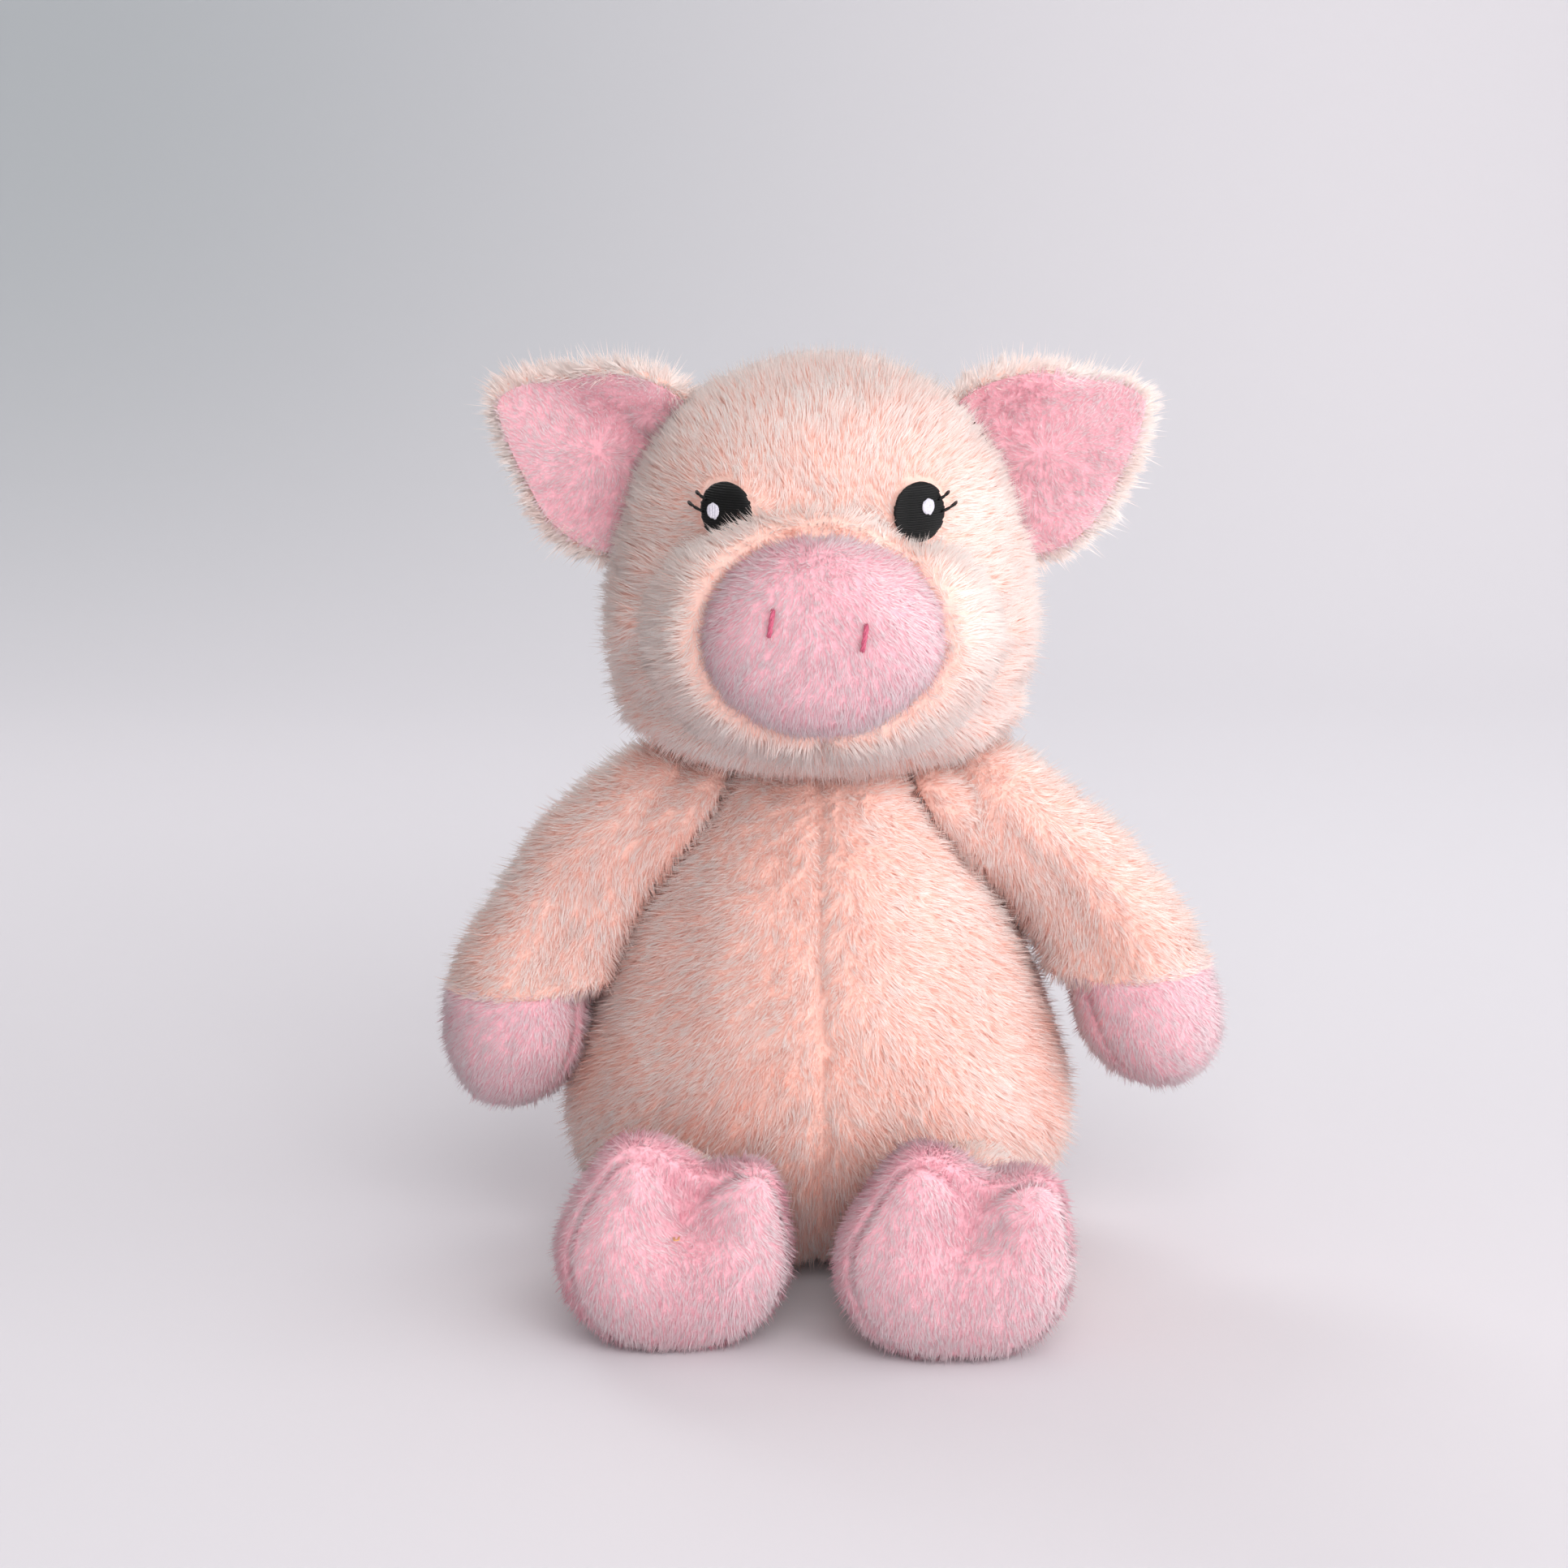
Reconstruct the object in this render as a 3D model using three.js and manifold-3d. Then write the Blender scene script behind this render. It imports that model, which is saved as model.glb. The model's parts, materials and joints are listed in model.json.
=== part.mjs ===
// A stuffed pig that sits upright: pile covers over soft fill, sewn at the neck, shoulders, hips and ears.
// Millimetres, +Z up. The pig looks along -Y, so its own left side is +X.
import * as THREE from 'three';
import { mergeVertices } from 'three/addons/utils/BufferGeometryUtils.js';
import Module from 'manifold-3d';

const wasm = await Module();
wasm.setup();

// Cloth and clearances
const clothThickness = 2.4;
const seamGap = 0.5;
const fillGap = 0.4;
const neighbourGap = 0.4;
const flatDepth = 0.5;
const overrun = 500;

// Torso: a pear that is widest low down, flat where it sits
const torsoHeight = 128;
const torsoHalfWidth = 61;
const torsoFront = 50;
const torsoBack = 46;
const closingSeamLength = 44;
const torsoShares = [
  // height, width, front, back
  [0, 0, 0, 0],
  [0.015, 0.46, 0.34, 0.52],
  [0.08, 0.83, 0.72, 0.86],
  [0.2, 0.99, 0.95, 1],
  [0.35, 0.99, 1, 0.98],
  [0.5, 0.88, 0.93, 0.9],
  [0.66, 0.75, 0.8, 0.78],
  [0.81, 0.58, 0.63, 0.63],
  [0.92, 0.42, 0.46, 0.46],
  [0.985, 0.22, 0.25, 0.25],
  [1, 0, 0, 0],
];

// Bag of plastic pellets that weighs the seat down
const pelletBagHalfWidth = 34;
const pelletBagHalfDepth = 27;
const pelletBagHeight = 20;
const pelletBagLift = 6;

// Head
const headBottom = 117;
const headHeight = 98;
const headHalfWidth = 51;
const headFront = 47;
const headBack = 45;
const headForward = 4;
const headShares = [
  // height, width, front, back
  [0, 0, 0, 0],
  [0.035, 0.56, 0.56, 0.52],
  [0.11, 0.88, 0.87, 0.82],
  [0.25, 0.975, 0.97, 0.95],
  [0.42, 1, 1, 1],
  [0.6, 0.93, 0.96, 0.97],
  [0.75, 0.825, 0.86, 0.87],
  [0.88, 0.63, 0.68, 0.68],
  [0.965, 0.36, 0.4, 0.4],
  [1, 0, 0, 0],
];

// Muzzle, a cream mound sewn over a hole in the face, and the snout pad that closes it. The muzzle has its
// place as shares of the head's height and front, and the pad stands out from a share of the muzzle.
const muzzleHalfWidth = 41;
const muzzleHalfHeight = 30.5;
const muzzleDepth = 41;
const muzzleRiseShare = 0.413;
const muzzleRootShare = 0.468;
const snoutHalfWidth = 27;
const snoutHalfHeight = 22.5;
const snoutDepth = 27.5;
const snoutLift = 4;
const snoutRootShare = 0.585;
const snoutRimShare = 0.2;
const moundShares = [
  // depth, width and height alike
  [0, 0],
  [0.08, 0.72],
  [0.26, 0.96],
  [0.46, 1],
  [0.68, 0.93],
  [0.86, 0.73],
  [0.965, 0.42],
  [1, 0],
];

// Embroidery: how proud the thread stands, and the places on the face. An eye stands a little way above
// the edge of the muzzle, and each nostril has its place as a share of the snout pad.
const threadHeight = 1;
const eyeHalfWidth = 5.7;
const eyeHalfHeight = 6.3;
const eyeSpreadShare = 0.416;
const eyeLift = 1.2;
const glintSizeShare = 0.29;
const glintOutwardShare = 0.35;
const glintRiseShare = 0.1;
const nostrilHalfWidth = 0.7;
const nostrilHalfHeight = 3.4;
const nostrilSpreadShare = 0.363;
const nostrilRiseShare = 0.173;
const nostrilTilt = 9;

// Ears: rounded triangles of two cloths, cupped, sewn along a slanting root
const earReach = 42;
const earHalfRoot = 24;
const earBackThickness = 4.4;
const earLiningThickness = 2.8;
const earLiningInset = 4.2;
const earCup = 7;
const earSet = 5;
const earSpreadShare = 0.784;
const earRiseShare = 0.699;
const earLean = 25.5;
const earMiddleShare = 0.3;
const earFlopBack = 20;
const earFlopForward = 25;
const earOutlineShares = [
  // outward over the reach, along the root over its half length
  [-0.21, 0.8],
  [0.1, 0.99],
  [0.42, 0.9],
  [0.72, 0.52],
  [0.93, 0.24],
  [0.995, 0.02],
  [0.9, -0.26],
  [0.67, -0.66],
  [0.36, -1],
  [0.08, -1.04],
  [-0.21, -0.8],
];

// Arms, which end in mitts
const armLength = 86;
const armRadius = 17.4;
const armForward = 9;
const shoulderSpread = 35;
const shoulderHeight = 112.5;
const wristDrop = 47;
const armSplayLeft = 6.5;
const armSplayRight = 0;
const armLift = 30;
const armSpineShares = [
  // outward, upward
  [-0.1, 0.085],
  [0, 0],
  [0.245, -0.22],
  [0.39, -0.48],
  [0.43, -0.7],
  [0.44, -0.9],
];
const armShares = [
  // along, thickness from side to side, thickness from front to back
  [0, 0, 0],
  [0.05, 0.62, 0.6],
  [0.16, 0.86, 0.86],
  [0.34, 0.82, 0.88],
  [0.54, 0.87, 0.92],
  [0.7, 0.98, 0.96],
  [0.85, 0.97, 0.9],
  [0.96, 0.6, 0.56],
  [1, 0, 0],
];

// Legs and feet: a short leg, and a foot that stands on its heel with the sole to the front
const legRadius = 18.5;
const legSpreadLeft = 29.7;
const legSpreadRight = 33;
const legHeight = 22;
const legStart = 14;
const legOverlap = 14;
const hipSpread = 24;
const hipForward = 6;
const hipSwing = 22;
const footHalfWidth = 26.8;
const footHalfHeight = 23.6;
const footReachLeft = 88;
const footReachRight = 82;
const footDepth = 33;
const footSeamShare = 0.62;
const toeRise = 3.6;
const toeSpreadAngle = 42;
const toeWidthAngle = 26;
const dimpleDepth = 5;
const dimpleRise = 8;
const dimpleRadius = 9;
const cleftDepth = 3.2;
const cleftHalfWidth = 7;
const footShares = [
  // depth, width and height alike
  [0, 0],
  [0.06, 0.5],
  [0.22, 0.84],
  [0.45, 0.98],
  [0.62, 1],
  [0.8, 0.9],
  [0.94, 0.6],
  [0.99, 0.3],
  [1, 0],
];

// Tail: one and a half turns of a thin stuffed roll
const tailRadius = 3.6;
const tailCurlRadius = 7.5;
const tailPitch = 10.5;
const tailTurns = 1.5;
const tailHeight = 40;
const tailTipShare = 0.55;
const tailOpeningShare = 0.25;
const tailRoundingShare = 0.12;

// Fineness of the surfaces
const coverSides = 24;
const coverRings = 16;
const limbSides = 16;
const limbRings = 11;
const fillSides = 12;
const fillRings = 8;
const patchSides = 10;
const tailSides = 6;
const tailRings = 20;

const finishes = {
  creamPlush: { color: 0xf2cfc4, roughness: 0.95, metalness: 0 },
  pinkMinky: { color: 0xeab9c4, roughness: 0.85, metalness: 0 },
  softFill: { color: 0xf4f2ee, roughness: 1, metalness: 0 },
  pelletCloth: { color: 0xd9d6cf, roughness: 0.8, metalness: 0 },
  blackThread: { color: 0x1b1b1e, roughness: 0.5, metalness: 0 },
  whiteThread: { color: 0xe2dcef, roughness: 0.5, metalness: 0 },
  roseThread: { color: 0xd0607f, roughness: 0.5, metalness: 0 },
};

const degrees = THREE.MathUtils.degToRad;

// One row of a table of shares, read along a smooth curve through its rows. Beyond either end the curve
// is mirrored, so that a form closes with a round pole.
function rowAt(table, along) {
  const last = table.length - 1;
  const index = Math.min(Math.floor(along * last), last - 1);
  const part = along * last - index;
  const mirrored = (row) => row.map((value, column) => (column ? -value : value));
  const rowBefore = index ? table[index - 1] : mirrored(table[1]);
  const rowAfter = index < last - 1 ? table[index + 2] : mirrored(table[last - 1]);
  return table[index].map((start, column) => {
    const end = table[index + 1][column];
    const slopeIn = (end - rowBefore[column]) / 2;
    const slopeOut = (rowAfter[column] - start) / 2;
    const bend = 3 * (end - start) - 2 * slopeIn - slopeOut;
    const turn = 2 * (start - end) + slopeIn + slopeOut;
    return start + part * (slopeIn + part * (bend + part * turn));
  });
}

// A closed surface from rings of points between two poles: surface(along, angle) gives each point.
function closedForm(surface, rings, sides) {
  const points = [surface(0, 0)];
  for (let ring = 1; ring < rings; ring += 1) {
    for (let side = 0; side < sides; side += 1) {
      points.push(surface(ring / rings, (2 * Math.PI * side) / sides));
    }
  }
  points.push(surface(1, 0));
  const end = points.length - 1;
  const faces = [];
  for (let side = 0; side < sides; side += 1) {
    const next = (side + 1) % sides;
    faces.push(0, 1 + next, 1 + side);
    faces.push(end, end - sides + side, end - sides + next);
    for (let ring = 0; ring < rings - 2; ring += 1) {
      const low = 1 + ring * sides;
      const high = low + sides;
      faces.push(low + side, low + next, high + next);
      faces.push(low + side, high + next, high + side);
    }
  }
  const geometry = new THREE.BufferGeometry().setFromPoints(points);
  geometry.setIndex(outward(points, faces));
  return geometry;
}

// The faces in the order that makes them point out, found from the sign of the volume they enclose.
function outward(points, faces) {
  const cross = new THREE.Vector3();
  let volume = 0;
  for (let first = 0; first < faces.length; first += 3) {
    const [a, b, c] = faces.slice(first, first + 3).map((index) => points[index]);
    volume += a.dot(cross.crossVectors(b, c));
  }
  return volume < 0 ? faces.reverse() : faces;
}

// The same surface moved outward along its normals, or inward for a negative distance.
function grown(geometry, distance) {
  const moved = geometry.clone();
  moved.computeVertexNormals();
  const place = moved.attributes.position;
  const normal = moved.attributes.normal;
  for (let index = 0; index < place.count; index += 1) {
    place.setXYZ(
      index,
      place.getX(index) + normal.getX(index) * distance,
      place.getY(index) + normal.getY(index) * distance,
      place.getZ(index) + normal.getZ(index) * distance,
    );
  }
  moved.deleteAttribute('normal');
  return moved;
}

function solid(geometry) {
  const bare = geometry.clone();
  bare.deleteAttribute('normal');
  bare.deleteAttribute('uv');
  const merged = mergeVertices(bare);
  return new wasm.Manifold(new wasm.Mesh({
    numProp: 3,
    vertProperties: new Float32Array(merged.attributes.position.array),
    triVerts: new Uint32Array(merged.index.array),
  }));
}

// A block that reaches far along each axis that is not limited: limits are [low, high] or null.
function block(limitsX, limitsY, limitsZ) {
  const limits = [limitsX, limitsY, limitsZ].map((pair) => pair ?? [-overrun, overrun]);
  const size = limits.map(([low, high]) => high - low);
  const middle = limits.map(([low, high]) => (low + high) / 2);
  const box = new THREE.BoxGeometry(...size);
  box.translate(...middle);
  return solid(box);
}

// Half of space, from a plane through a point toward its normal.
function halfSpace(point, normal) {
  const box = new THREE.BoxGeometry(2 * overrun, 2 * overrun, overrun);
  box.translate(0, 0, overrun / 2);
  const up = new THREE.Vector3(0, 0, 1);
  box.applyQuaternion(new THREE.Quaternion().setFromUnitVectors(up, normal));
  box.translate(point.x, point.y, point.z);
  return solid(box);
}

// A geometry turned about an axis through a pivot.
function turned(geometry, pivot, axis, angle) {
  const copy = geometry.clone();
  copy.translate(-pivot.x, -pivot.y, -pivot.z);
  copy.applyMatrix4(new THREE.Matrix4().makeRotationAxis(axis, degrees(angle)));
  copy.translate(pivot.x, pivot.y, pivot.z);
  return copy;
}

// What a limb must stay clear of: its neighbour as the limb sees it at each angle of its joint.
function sweptNeighbour(geometry, pivot, axis, angles) {
  return angles
    .map((angle) => solid(turned(geometry, pivot, axis, -angle)))
    .reduce((joined, next) => joined.add(next));
}

// An upright form such as the torso or the head, from its table of shares.
function uprightSurface(table, { bottom, height, width, front, back, forward }) {
  return (along, angle) => {
    const [rise, widthShare, frontShare, backShare] = rowAt(table, along);
    const toFront = Math.sin(angle) < 0;
    const depth = toFront ? front * frontShare : back * backShare;
    return new THREE.Vector3(
      width * widthShare * Math.cos(angle),
      depth * Math.sin(angle) - forward,
      bottom + height * rise,
    );
  };
}

// The round form that an upright form fills as it turns about the middle line. Its flats, which lie nearer
// to that line than its corners, are what the corners of the upright form clear.
function turnSurface(table, { bottom, height, width, front, back, forward }) {
  return (along, angle) => {
    const [rise, widthShare, frontShare, backShare] = rowAt(table, along);
    const reach = Math.max(width * widthShare, front * frontShare + forward, back * backShare - forward);
    const radius = widthShare ? reach / Math.cos(Math.PI / coverSides) : 0;
    return new THREE.Vector3(radius * Math.cos(angle), radius * Math.sin(angle), bottom + height * rise);
  };
}

// A mound that grows forward from its root, such as the muzzle or the snout pad.
function moundSurface({ root, depth, width, height, centre }) {
  return (along, angle) => {
    const [depthShare, sizeShare] = rowAt(moundShares, along);
    return new THREE.Vector3(
      width * sizeShare * Math.cos(angle),
      -root - depth * depthShare,
      centre + height * sizeShare * Math.sin(angle),
    );
  };
}

const torsoSize = {
  bottom: -flatDepth,
  height: torsoHeight,
  width: torsoHalfWidth,
  front: torsoFront,
  back: torsoBack,
  forward: 0,
};
const headSize = {
  bottom: headBottom,
  height: headHeight,
  width: headHalfWidth,
  front: headFront,
  back: headBack,
  forward: headForward,
};
const muzzleHeight = headBottom + headHeight * muzzleRiseShare;
const muzzleRoot = headForward + headFront * muzzleRootShare;
const snoutHeight = muzzleHeight + snoutLift;
const snoutRoot = muzzleRoot + muzzleDepth * snoutRootShare;
const muzzleSize = {
  root: muzzleRoot,
  depth: muzzleDepth,
  width: muzzleHalfWidth,
  height: muzzleHalfHeight,
  centre: muzzleHeight,
};
const snoutSize = {
  root: snoutRoot,
  depth: snoutDepth,
  width: snoutHalfWidth,
  height: snoutHalfHeight,
  centre: snoutHeight,
};

const upright = (table, size) => closedForm(uprightSurface(table, size), coverRings, coverSides);
const uprightInside = (table, size) => closedForm(uprightSurface(table, size), fillRings, fillSides);
const turning = (table, size) => closedForm(turnSurface(table, size), coverRings, coverSides);

const torsoForm = upright(torsoShares, torsoSize);
const torsoInside = uprightInside(torsoShares, torsoSize);
const torsoTurn = grown(turning(torsoShares, torsoSize), neighbourGap);
const headForm = upright(headShares, headSize);
const headInside = uprightInside(headShares, headSize);
const headTurn = grown(turning(headShares, headSize), neighbourGap);
const muzzleForm = closedForm(moundSurface(muzzleSize), limbRings, coverSides);
const muzzleInside = closedForm(moundSurface(muzzleSize), fillRings, fillSides);
const snoutForm = closedForm(moundSurface(snoutSize), limbRings, coverSides);
const snoutInside = closedForm(moundSurface(snoutSize), fillRings, fillSides);

const neckPivot = new THREE.Vector3(0, 0, headBottom);
const upAxis = new THREE.Vector3(0, 0, 1);
const acrossAxis = new THREE.Vector3(0, 1, 0);
const aboveFloor = block(null, null, [0, 2 * overrun]);

// A finished piece in its group: its geometry is moved so that the group can sit on the joint.
function addPiece(group, name, piece, finish) {
  const { vertProperties, triVerts } = piece.getMesh();
  const geometry = new THREE.BufferGeometry();
  geometry.setAttribute('position', new THREE.BufferAttribute(new Float32Array(vertProperties), 3));
  geometry.setIndex(new THREE.BufferAttribute(new Uint32Array(triVerts), 1));
  geometry.translate(-group.position.x, -group.position.y, -group.position.z);
  const mesh = new THREE.Mesh(geometry, new THREE.MeshStandardMaterial(finish));
  mesh.name = name;
  group.add(mesh);
}

// Torso: a back panel and two front panels, sewn at the sides and down the middle of the front, with the
// slit at the back that the toy is filled through.
function makeTorso(group) {
  const outer = solid(torsoForm).intersect(aboveFloor);
  const inner = solid(grown(torsoInside, -clothThickness));
  const cover = outer.subtract(inner);
  const slitTop = (torsoHeight + closingSeamLength) / 2;
  const slit = block(
    [-seamGap / 2, seamGap / 2],
    [0, overrun],
    [slitTop - closingSeamLength, slitTop],
  );
  const behind = block(null, [seamGap / 2, overrun], null);
  const frontLeft = block([seamGap / 2, overrun], [-overrun, -seamGap / 2], null);
  const frontRight = block([-overrun, -seamGap / 2], [-overrun, -seamGap / 2], null);
  addPiece(group, 'torso_back', cover.intersect(behind).subtract(slit), finishes.creamPlush);
  addPiece(group, 'torso_front_left', cover.intersect(frontLeft), finishes.creamPlush);
  addPiece(group, 'torso_front_right', cover.intersect(frontRight), finishes.creamPlush);

  const bag = pelletBagForm();
  const fillRoom = solid(grown(torsoInside, -clothThickness - fillGap));
  const fill = fillRoom.subtract(solid(grown(bag, fillGap))).subtract(bagEntry(fillGap));
  addPiece(group, 'torso_stuffing', fill, finishes.softFill);
  addPiece(group, 'pellet_bag', solid(bag), finishes.pelletCloth);
}

// The bag is a low cushion that lies in the seat.
function pelletBagForm() {
  const surface = (along, angle) => {
    const [depthShare, sizeShare] = rowAt(moundShares, along);
    return new THREE.Vector3(
      pelletBagHalfWidth * sizeShare * Math.cos(angle),
      pelletBagHalfDepth * sizeShare * Math.sin(angle),
      pelletBagLift + pelletBagHeight * depthShare,
    );
  };
  return closedForm(surface, fillRings, fillSides);
}

// The way down through the fill by which the bag is put in, so that the fill is one open body.
function bagEntry(gap) {
  const halfWidth = pelletBagHalfWidth / 2 + gap;
  const halfDepth = pelletBagHalfDepth / 2 + gap;
  return block([-halfWidth, halfWidth], [-halfDepth, halfDepth], [-overrun, pelletBagLift + fillGap]);
}

// Head: face panel and back panel, sewn over the crown from ear to ear, with the fill inside.
function makeHead(group) {
  const torsoCut = solid(torsoTurn);
  const inside = solid(grown(headInside, -clothThickness));
  const cover = solid(headForm).subtract(torsoCut).subtract(inside);
  const muzzleRoom = solid(grown(muzzleInside, -clothThickness));
  const front = block(null, [-overrun, -headForward - seamGap / 2], null);
  const behind = block(null, [-headForward + seamGap / 2, overrun], null);
  addPiece(group, 'face_panel', cover.intersect(front).subtract(muzzleRoom), finishes.creamPlush);
  addPiece(group, 'head_back', cover.intersect(behind), finishes.creamPlush);

  const headOuter = solid(grown(headForm, neighbourGap));
  const snoutOuter = solid(grown(snoutForm, neighbourGap));
  const muzzle = solid(muzzleForm).subtract(muzzleRoom).subtract(headOuter).subtract(snoutOuter);
  addPiece(group, 'muzzle_cover', muzzle.subtract(torsoCut), finishes.creamPlush);
  const snoutRoom = solid(grown(snoutInside, -clothThickness));
  const snoutRim = -snoutRoot - snoutDepth * snoutRimShare;
  const inFrontOf = (place) => block(null, [-overrun, place], null);
  const snout = solid(snoutForm).subtract(snoutRoom).intersect(inFrontOf(snoutRim));
  addPiece(group, 'snout_pad', snout, finishes.pinkMinky);

  const fillInset = clothThickness + fillGap;
  const fill = solid(grown(headInside, -fillInset))
    .add(solid(grown(muzzleInside, -fillInset)))
    .subtract(snoutOuter.intersect(inFrontOf(snoutRim + fillGap)))
    .add(solid(grown(snoutInside, -fillInset)))
    .subtract(solid(grown(torsoTurn, fillInset)));
  addPiece(group, 'head_stuffing', fill, finishes.softFill);
}

// A patch of embroidery that follows the cloth under it: between two offsets of that cloth, inside an
// oval seen from the front, which reaches forward from a start inside the form.
function threadPatch(cloth, lift, { halfWidth, halfHeight, x, z, tilt, start }) {
  const oval = new THREE.CylinderGeometry(1, 1, overrun, patchSides);
  oval.scale(halfWidth, 1, halfHeight);
  oval.rotateY(degrees(tilt));
  oval.translate(x, -start - overrun / 2, z);
  const top = solid(grown(cloth, lift + threadHeight));
  return top.intersect(solid(oval)).subtract(solid(grown(cloth, lift)));
}

function makeEmbroidery(group) {
  const muzzleCut = solid(grown(muzzleForm, neighbourGap));
  const eyeSpread = headHalfWidth * eyeSpreadShare;
  const muzzleEdge = muzzleHalfHeight * Math.sqrt(1 - (eyeSpread / muzzleHalfWidth) ** 2);
  const eyeHeight = muzzleHeight + muzzleEdge + eyeLift;
  for (const [side, sign] of [['left', 1], ['right', -1]]) {
    const eye = threadPatch(headForm, neighbourGap, {
      halfWidth: eyeHalfWidth,
      halfHeight: eyeHalfHeight,
      x: sign * eyeSpread,
      z: eyeHeight,
      tilt: 0,
      start: headForward,
    });
    addPiece(group, `eye_${side}`, eye.subtract(muzzleCut), finishes.blackThread);
    const glint = threadPatch(headForm, 2 * neighbourGap + threadHeight, {
      halfWidth: eyeHalfWidth * glintSizeShare,
      halfHeight: eyeHalfHeight * glintSizeShare,
      x: sign * (eyeSpread + eyeHalfWidth * glintOutwardShare),
      z: eyeHeight + eyeHalfHeight * glintRiseShare,
      tilt: 0,
      start: headForward,
    });
    addPiece(group, `eye_glint_${side}`, glint, finishes.whiteThread);
    const nostril = threadPatch(snoutForm, neighbourGap, {
      halfWidth: nostrilHalfWidth,
      halfHeight: nostrilHalfHeight,
      x: sign * snoutHalfWidth * nostrilSpreadShare,
      z: snoutHeight + snoutHalfHeight * nostrilRiseShare,
      tilt: nostrilTilt,
      start: snoutRoot + snoutDepth / 2,
    });
    addPiece(group, `nostril_stitch_${side}`, nostril, finishes.roseThread);
  }
}

// Ears: a plush back and a smooth lining with one hollow. sign is 1 for the pig's left.
function earLayer(sign, inset, behind, thickness) {
  const outline = new THREE.CatmullRomCurve3(
    earOutlineShares.map(([out, up]) => new THREE.Vector3(out * earReach, 0, up * earHalfRoot)),
    true,
  );
  const centre = new THREE.Vector3(earReach * earMiddleShare, 0, 0);
  const surface = (along, angle) => {
    const [depthShare, sizeShare] = rowAt(moundShares, along);
    const edge = outline.getPoint(angle / (2 * Math.PI) % 1).sub(centre);
    edge.setLength(edge.length() - inset).multiplyScalar(sizeShare).add(centre);
    const outShare = (edge.x - centre.x) / earReach;
    const upShare = edge.z / earHalfRoot;
    const hollow = earCup * (outShare * outShare + upShare * upShare);
    return new THREE.Vector3(edge.x, behind + thickness * depthShare - hollow, edge.z);
  };
  const layer = closedForm(surface, fillRings, coverSides);
  layer.rotateY(degrees(-earLean));
  layer.translate(...earPivot(1));
  if (sign < 0) {
    layer.scale(sign, 1, 1);
    layer.setIndex([...layer.index.array].reverse());
  }
  return layer;
}

function earPivot(sign) {
  const spread = headHalfWidth * earSpreadShare;
  return new THREE.Vector3(sign * spread, earSet, headBottom + headHeight * earRiseShare);
}

// The root line slants outward as it goes down; it points up the root on both ears.
function earAxis(sign) {
  return new THREE.Vector3(-sign * Math.sin(degrees(earLean)), 0, Math.cos(degrees(earLean)));
}

function makeEar(group, side, sign) {
  const flops = [-1, 0, 1].map((share) => {
    const limit = share < 0 ? earFlopBack : earFlopForward;
    return -sign * share * limit;
  });
  const headCut = sweptNeighbour(grown(headForm, neighbourGap), earPivot(sign), earAxis(sign), flops);
  const backLayer = earLayer(sign, 0, 0, earBackThickness);
  const liningLayer = earLayer(sign, earLiningInset, -earLiningThickness, earLiningThickness);
  const lining = solid(liningLayer).subtract(solid(grown(backLayer, neighbourGap)));
  addPiece(group, `ear_back_${side}`, solid(backLayer).subtract(headCut), finishes.creamPlush);
  addPiece(group, `ear_lining_${side}`, lining.subtract(headCut), finishes.pinkMinky);
}

// Arm: a bent roll from the shoulder to the fingertips.
function shoulderPivot(sign) {
  return new THREE.Vector3(sign * shoulderSpread, 0, shoulderHeight);
}

function armSpine(sign, splay) {
  const turn = new THREE.Matrix4().makeRotationY(degrees(-sign * splay));
  const points = armSpineShares.map(([out, up], index) => {
    const forward = (armForward * index) / (armSpineShares.length - 1);
    const point = new THREE.Vector3(sign * out * armLength, -forward, up * armLength);
    return point.applyMatrix4(turn).add(shoulderPivot(sign));
  });
  return new THREE.CatmullRomCurve3(points);
}

function armForm(spine, rings, sides) {
  const surface = (along, angle) => {
    const [spineShare, sideShare, depthShare] = rowAt(armShares, along);
    const share = Math.min(Math.max(spineShare, 0), 1);
    const tangent = spine.getTangentAt(share);
    const sideways = new THREE.Vector3(tangent.z, 0, -tangent.x).normalize();
    const forwards = new THREE.Vector3().crossVectors(tangent, sideways);
    return spine.getPointAt(share)
      .addScaledVector(sideways, armRadius * sideShare * Math.cos(angle))
      .addScaledVector(forwards, armRadius * depthShare * Math.sin(angle));
  };
  return closedForm(surface, rings, sides);
}

function makeArm(group, side, sign, splay) {
  const spine = armSpine(sign, splay);
  const form = armForm(spine, limbRings, limbSides);
  const lifts = [0, 1 / 2, 1].map((share) => -sign * share * armLift);
  const pivot = shoulderPivot(sign);
  const torsoCut = sweptNeighbour(grown(torsoForm, neighbourGap), pivot, acrossAxis, lifts);
  const headCut = sweptNeighbour(headTurn, pivot, acrossAxis, lifts);
  const inside = armForm(spine, fillRings, fillSides);
  const body = solid(form).subtract(torsoCut).subtract(headCut);
  const cover = body.subtract(solid(grown(inside, -clothThickness)));
  const down = new THREE.Vector3(0, 0, -1).applyAxisAngle(acrossAxis, degrees(-sign * splay));
  const below = pivot.clone().addScaledVector(down, wristDrop + seamGap / 2);
  const above = pivot.clone().addScaledVector(down, wristDrop - seamGap / 2);
  const up = down.clone().negate();
  addPiece(group, `arm_sleeve_${side}`, cover.intersect(halfSpace(above, up)), finishes.creamPlush);
  addPiece(group, `hand_${side}`, cover.intersect(halfSpace(below, down)), finishes.pinkMinky);
  const fill = solid(grown(inside, -clothThickness - fillGap)).subtract(torsoCut).subtract(headCut);
  addPiece(group, `arm_stuffing_${side}`, fill, finishes.softFill);
}

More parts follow.
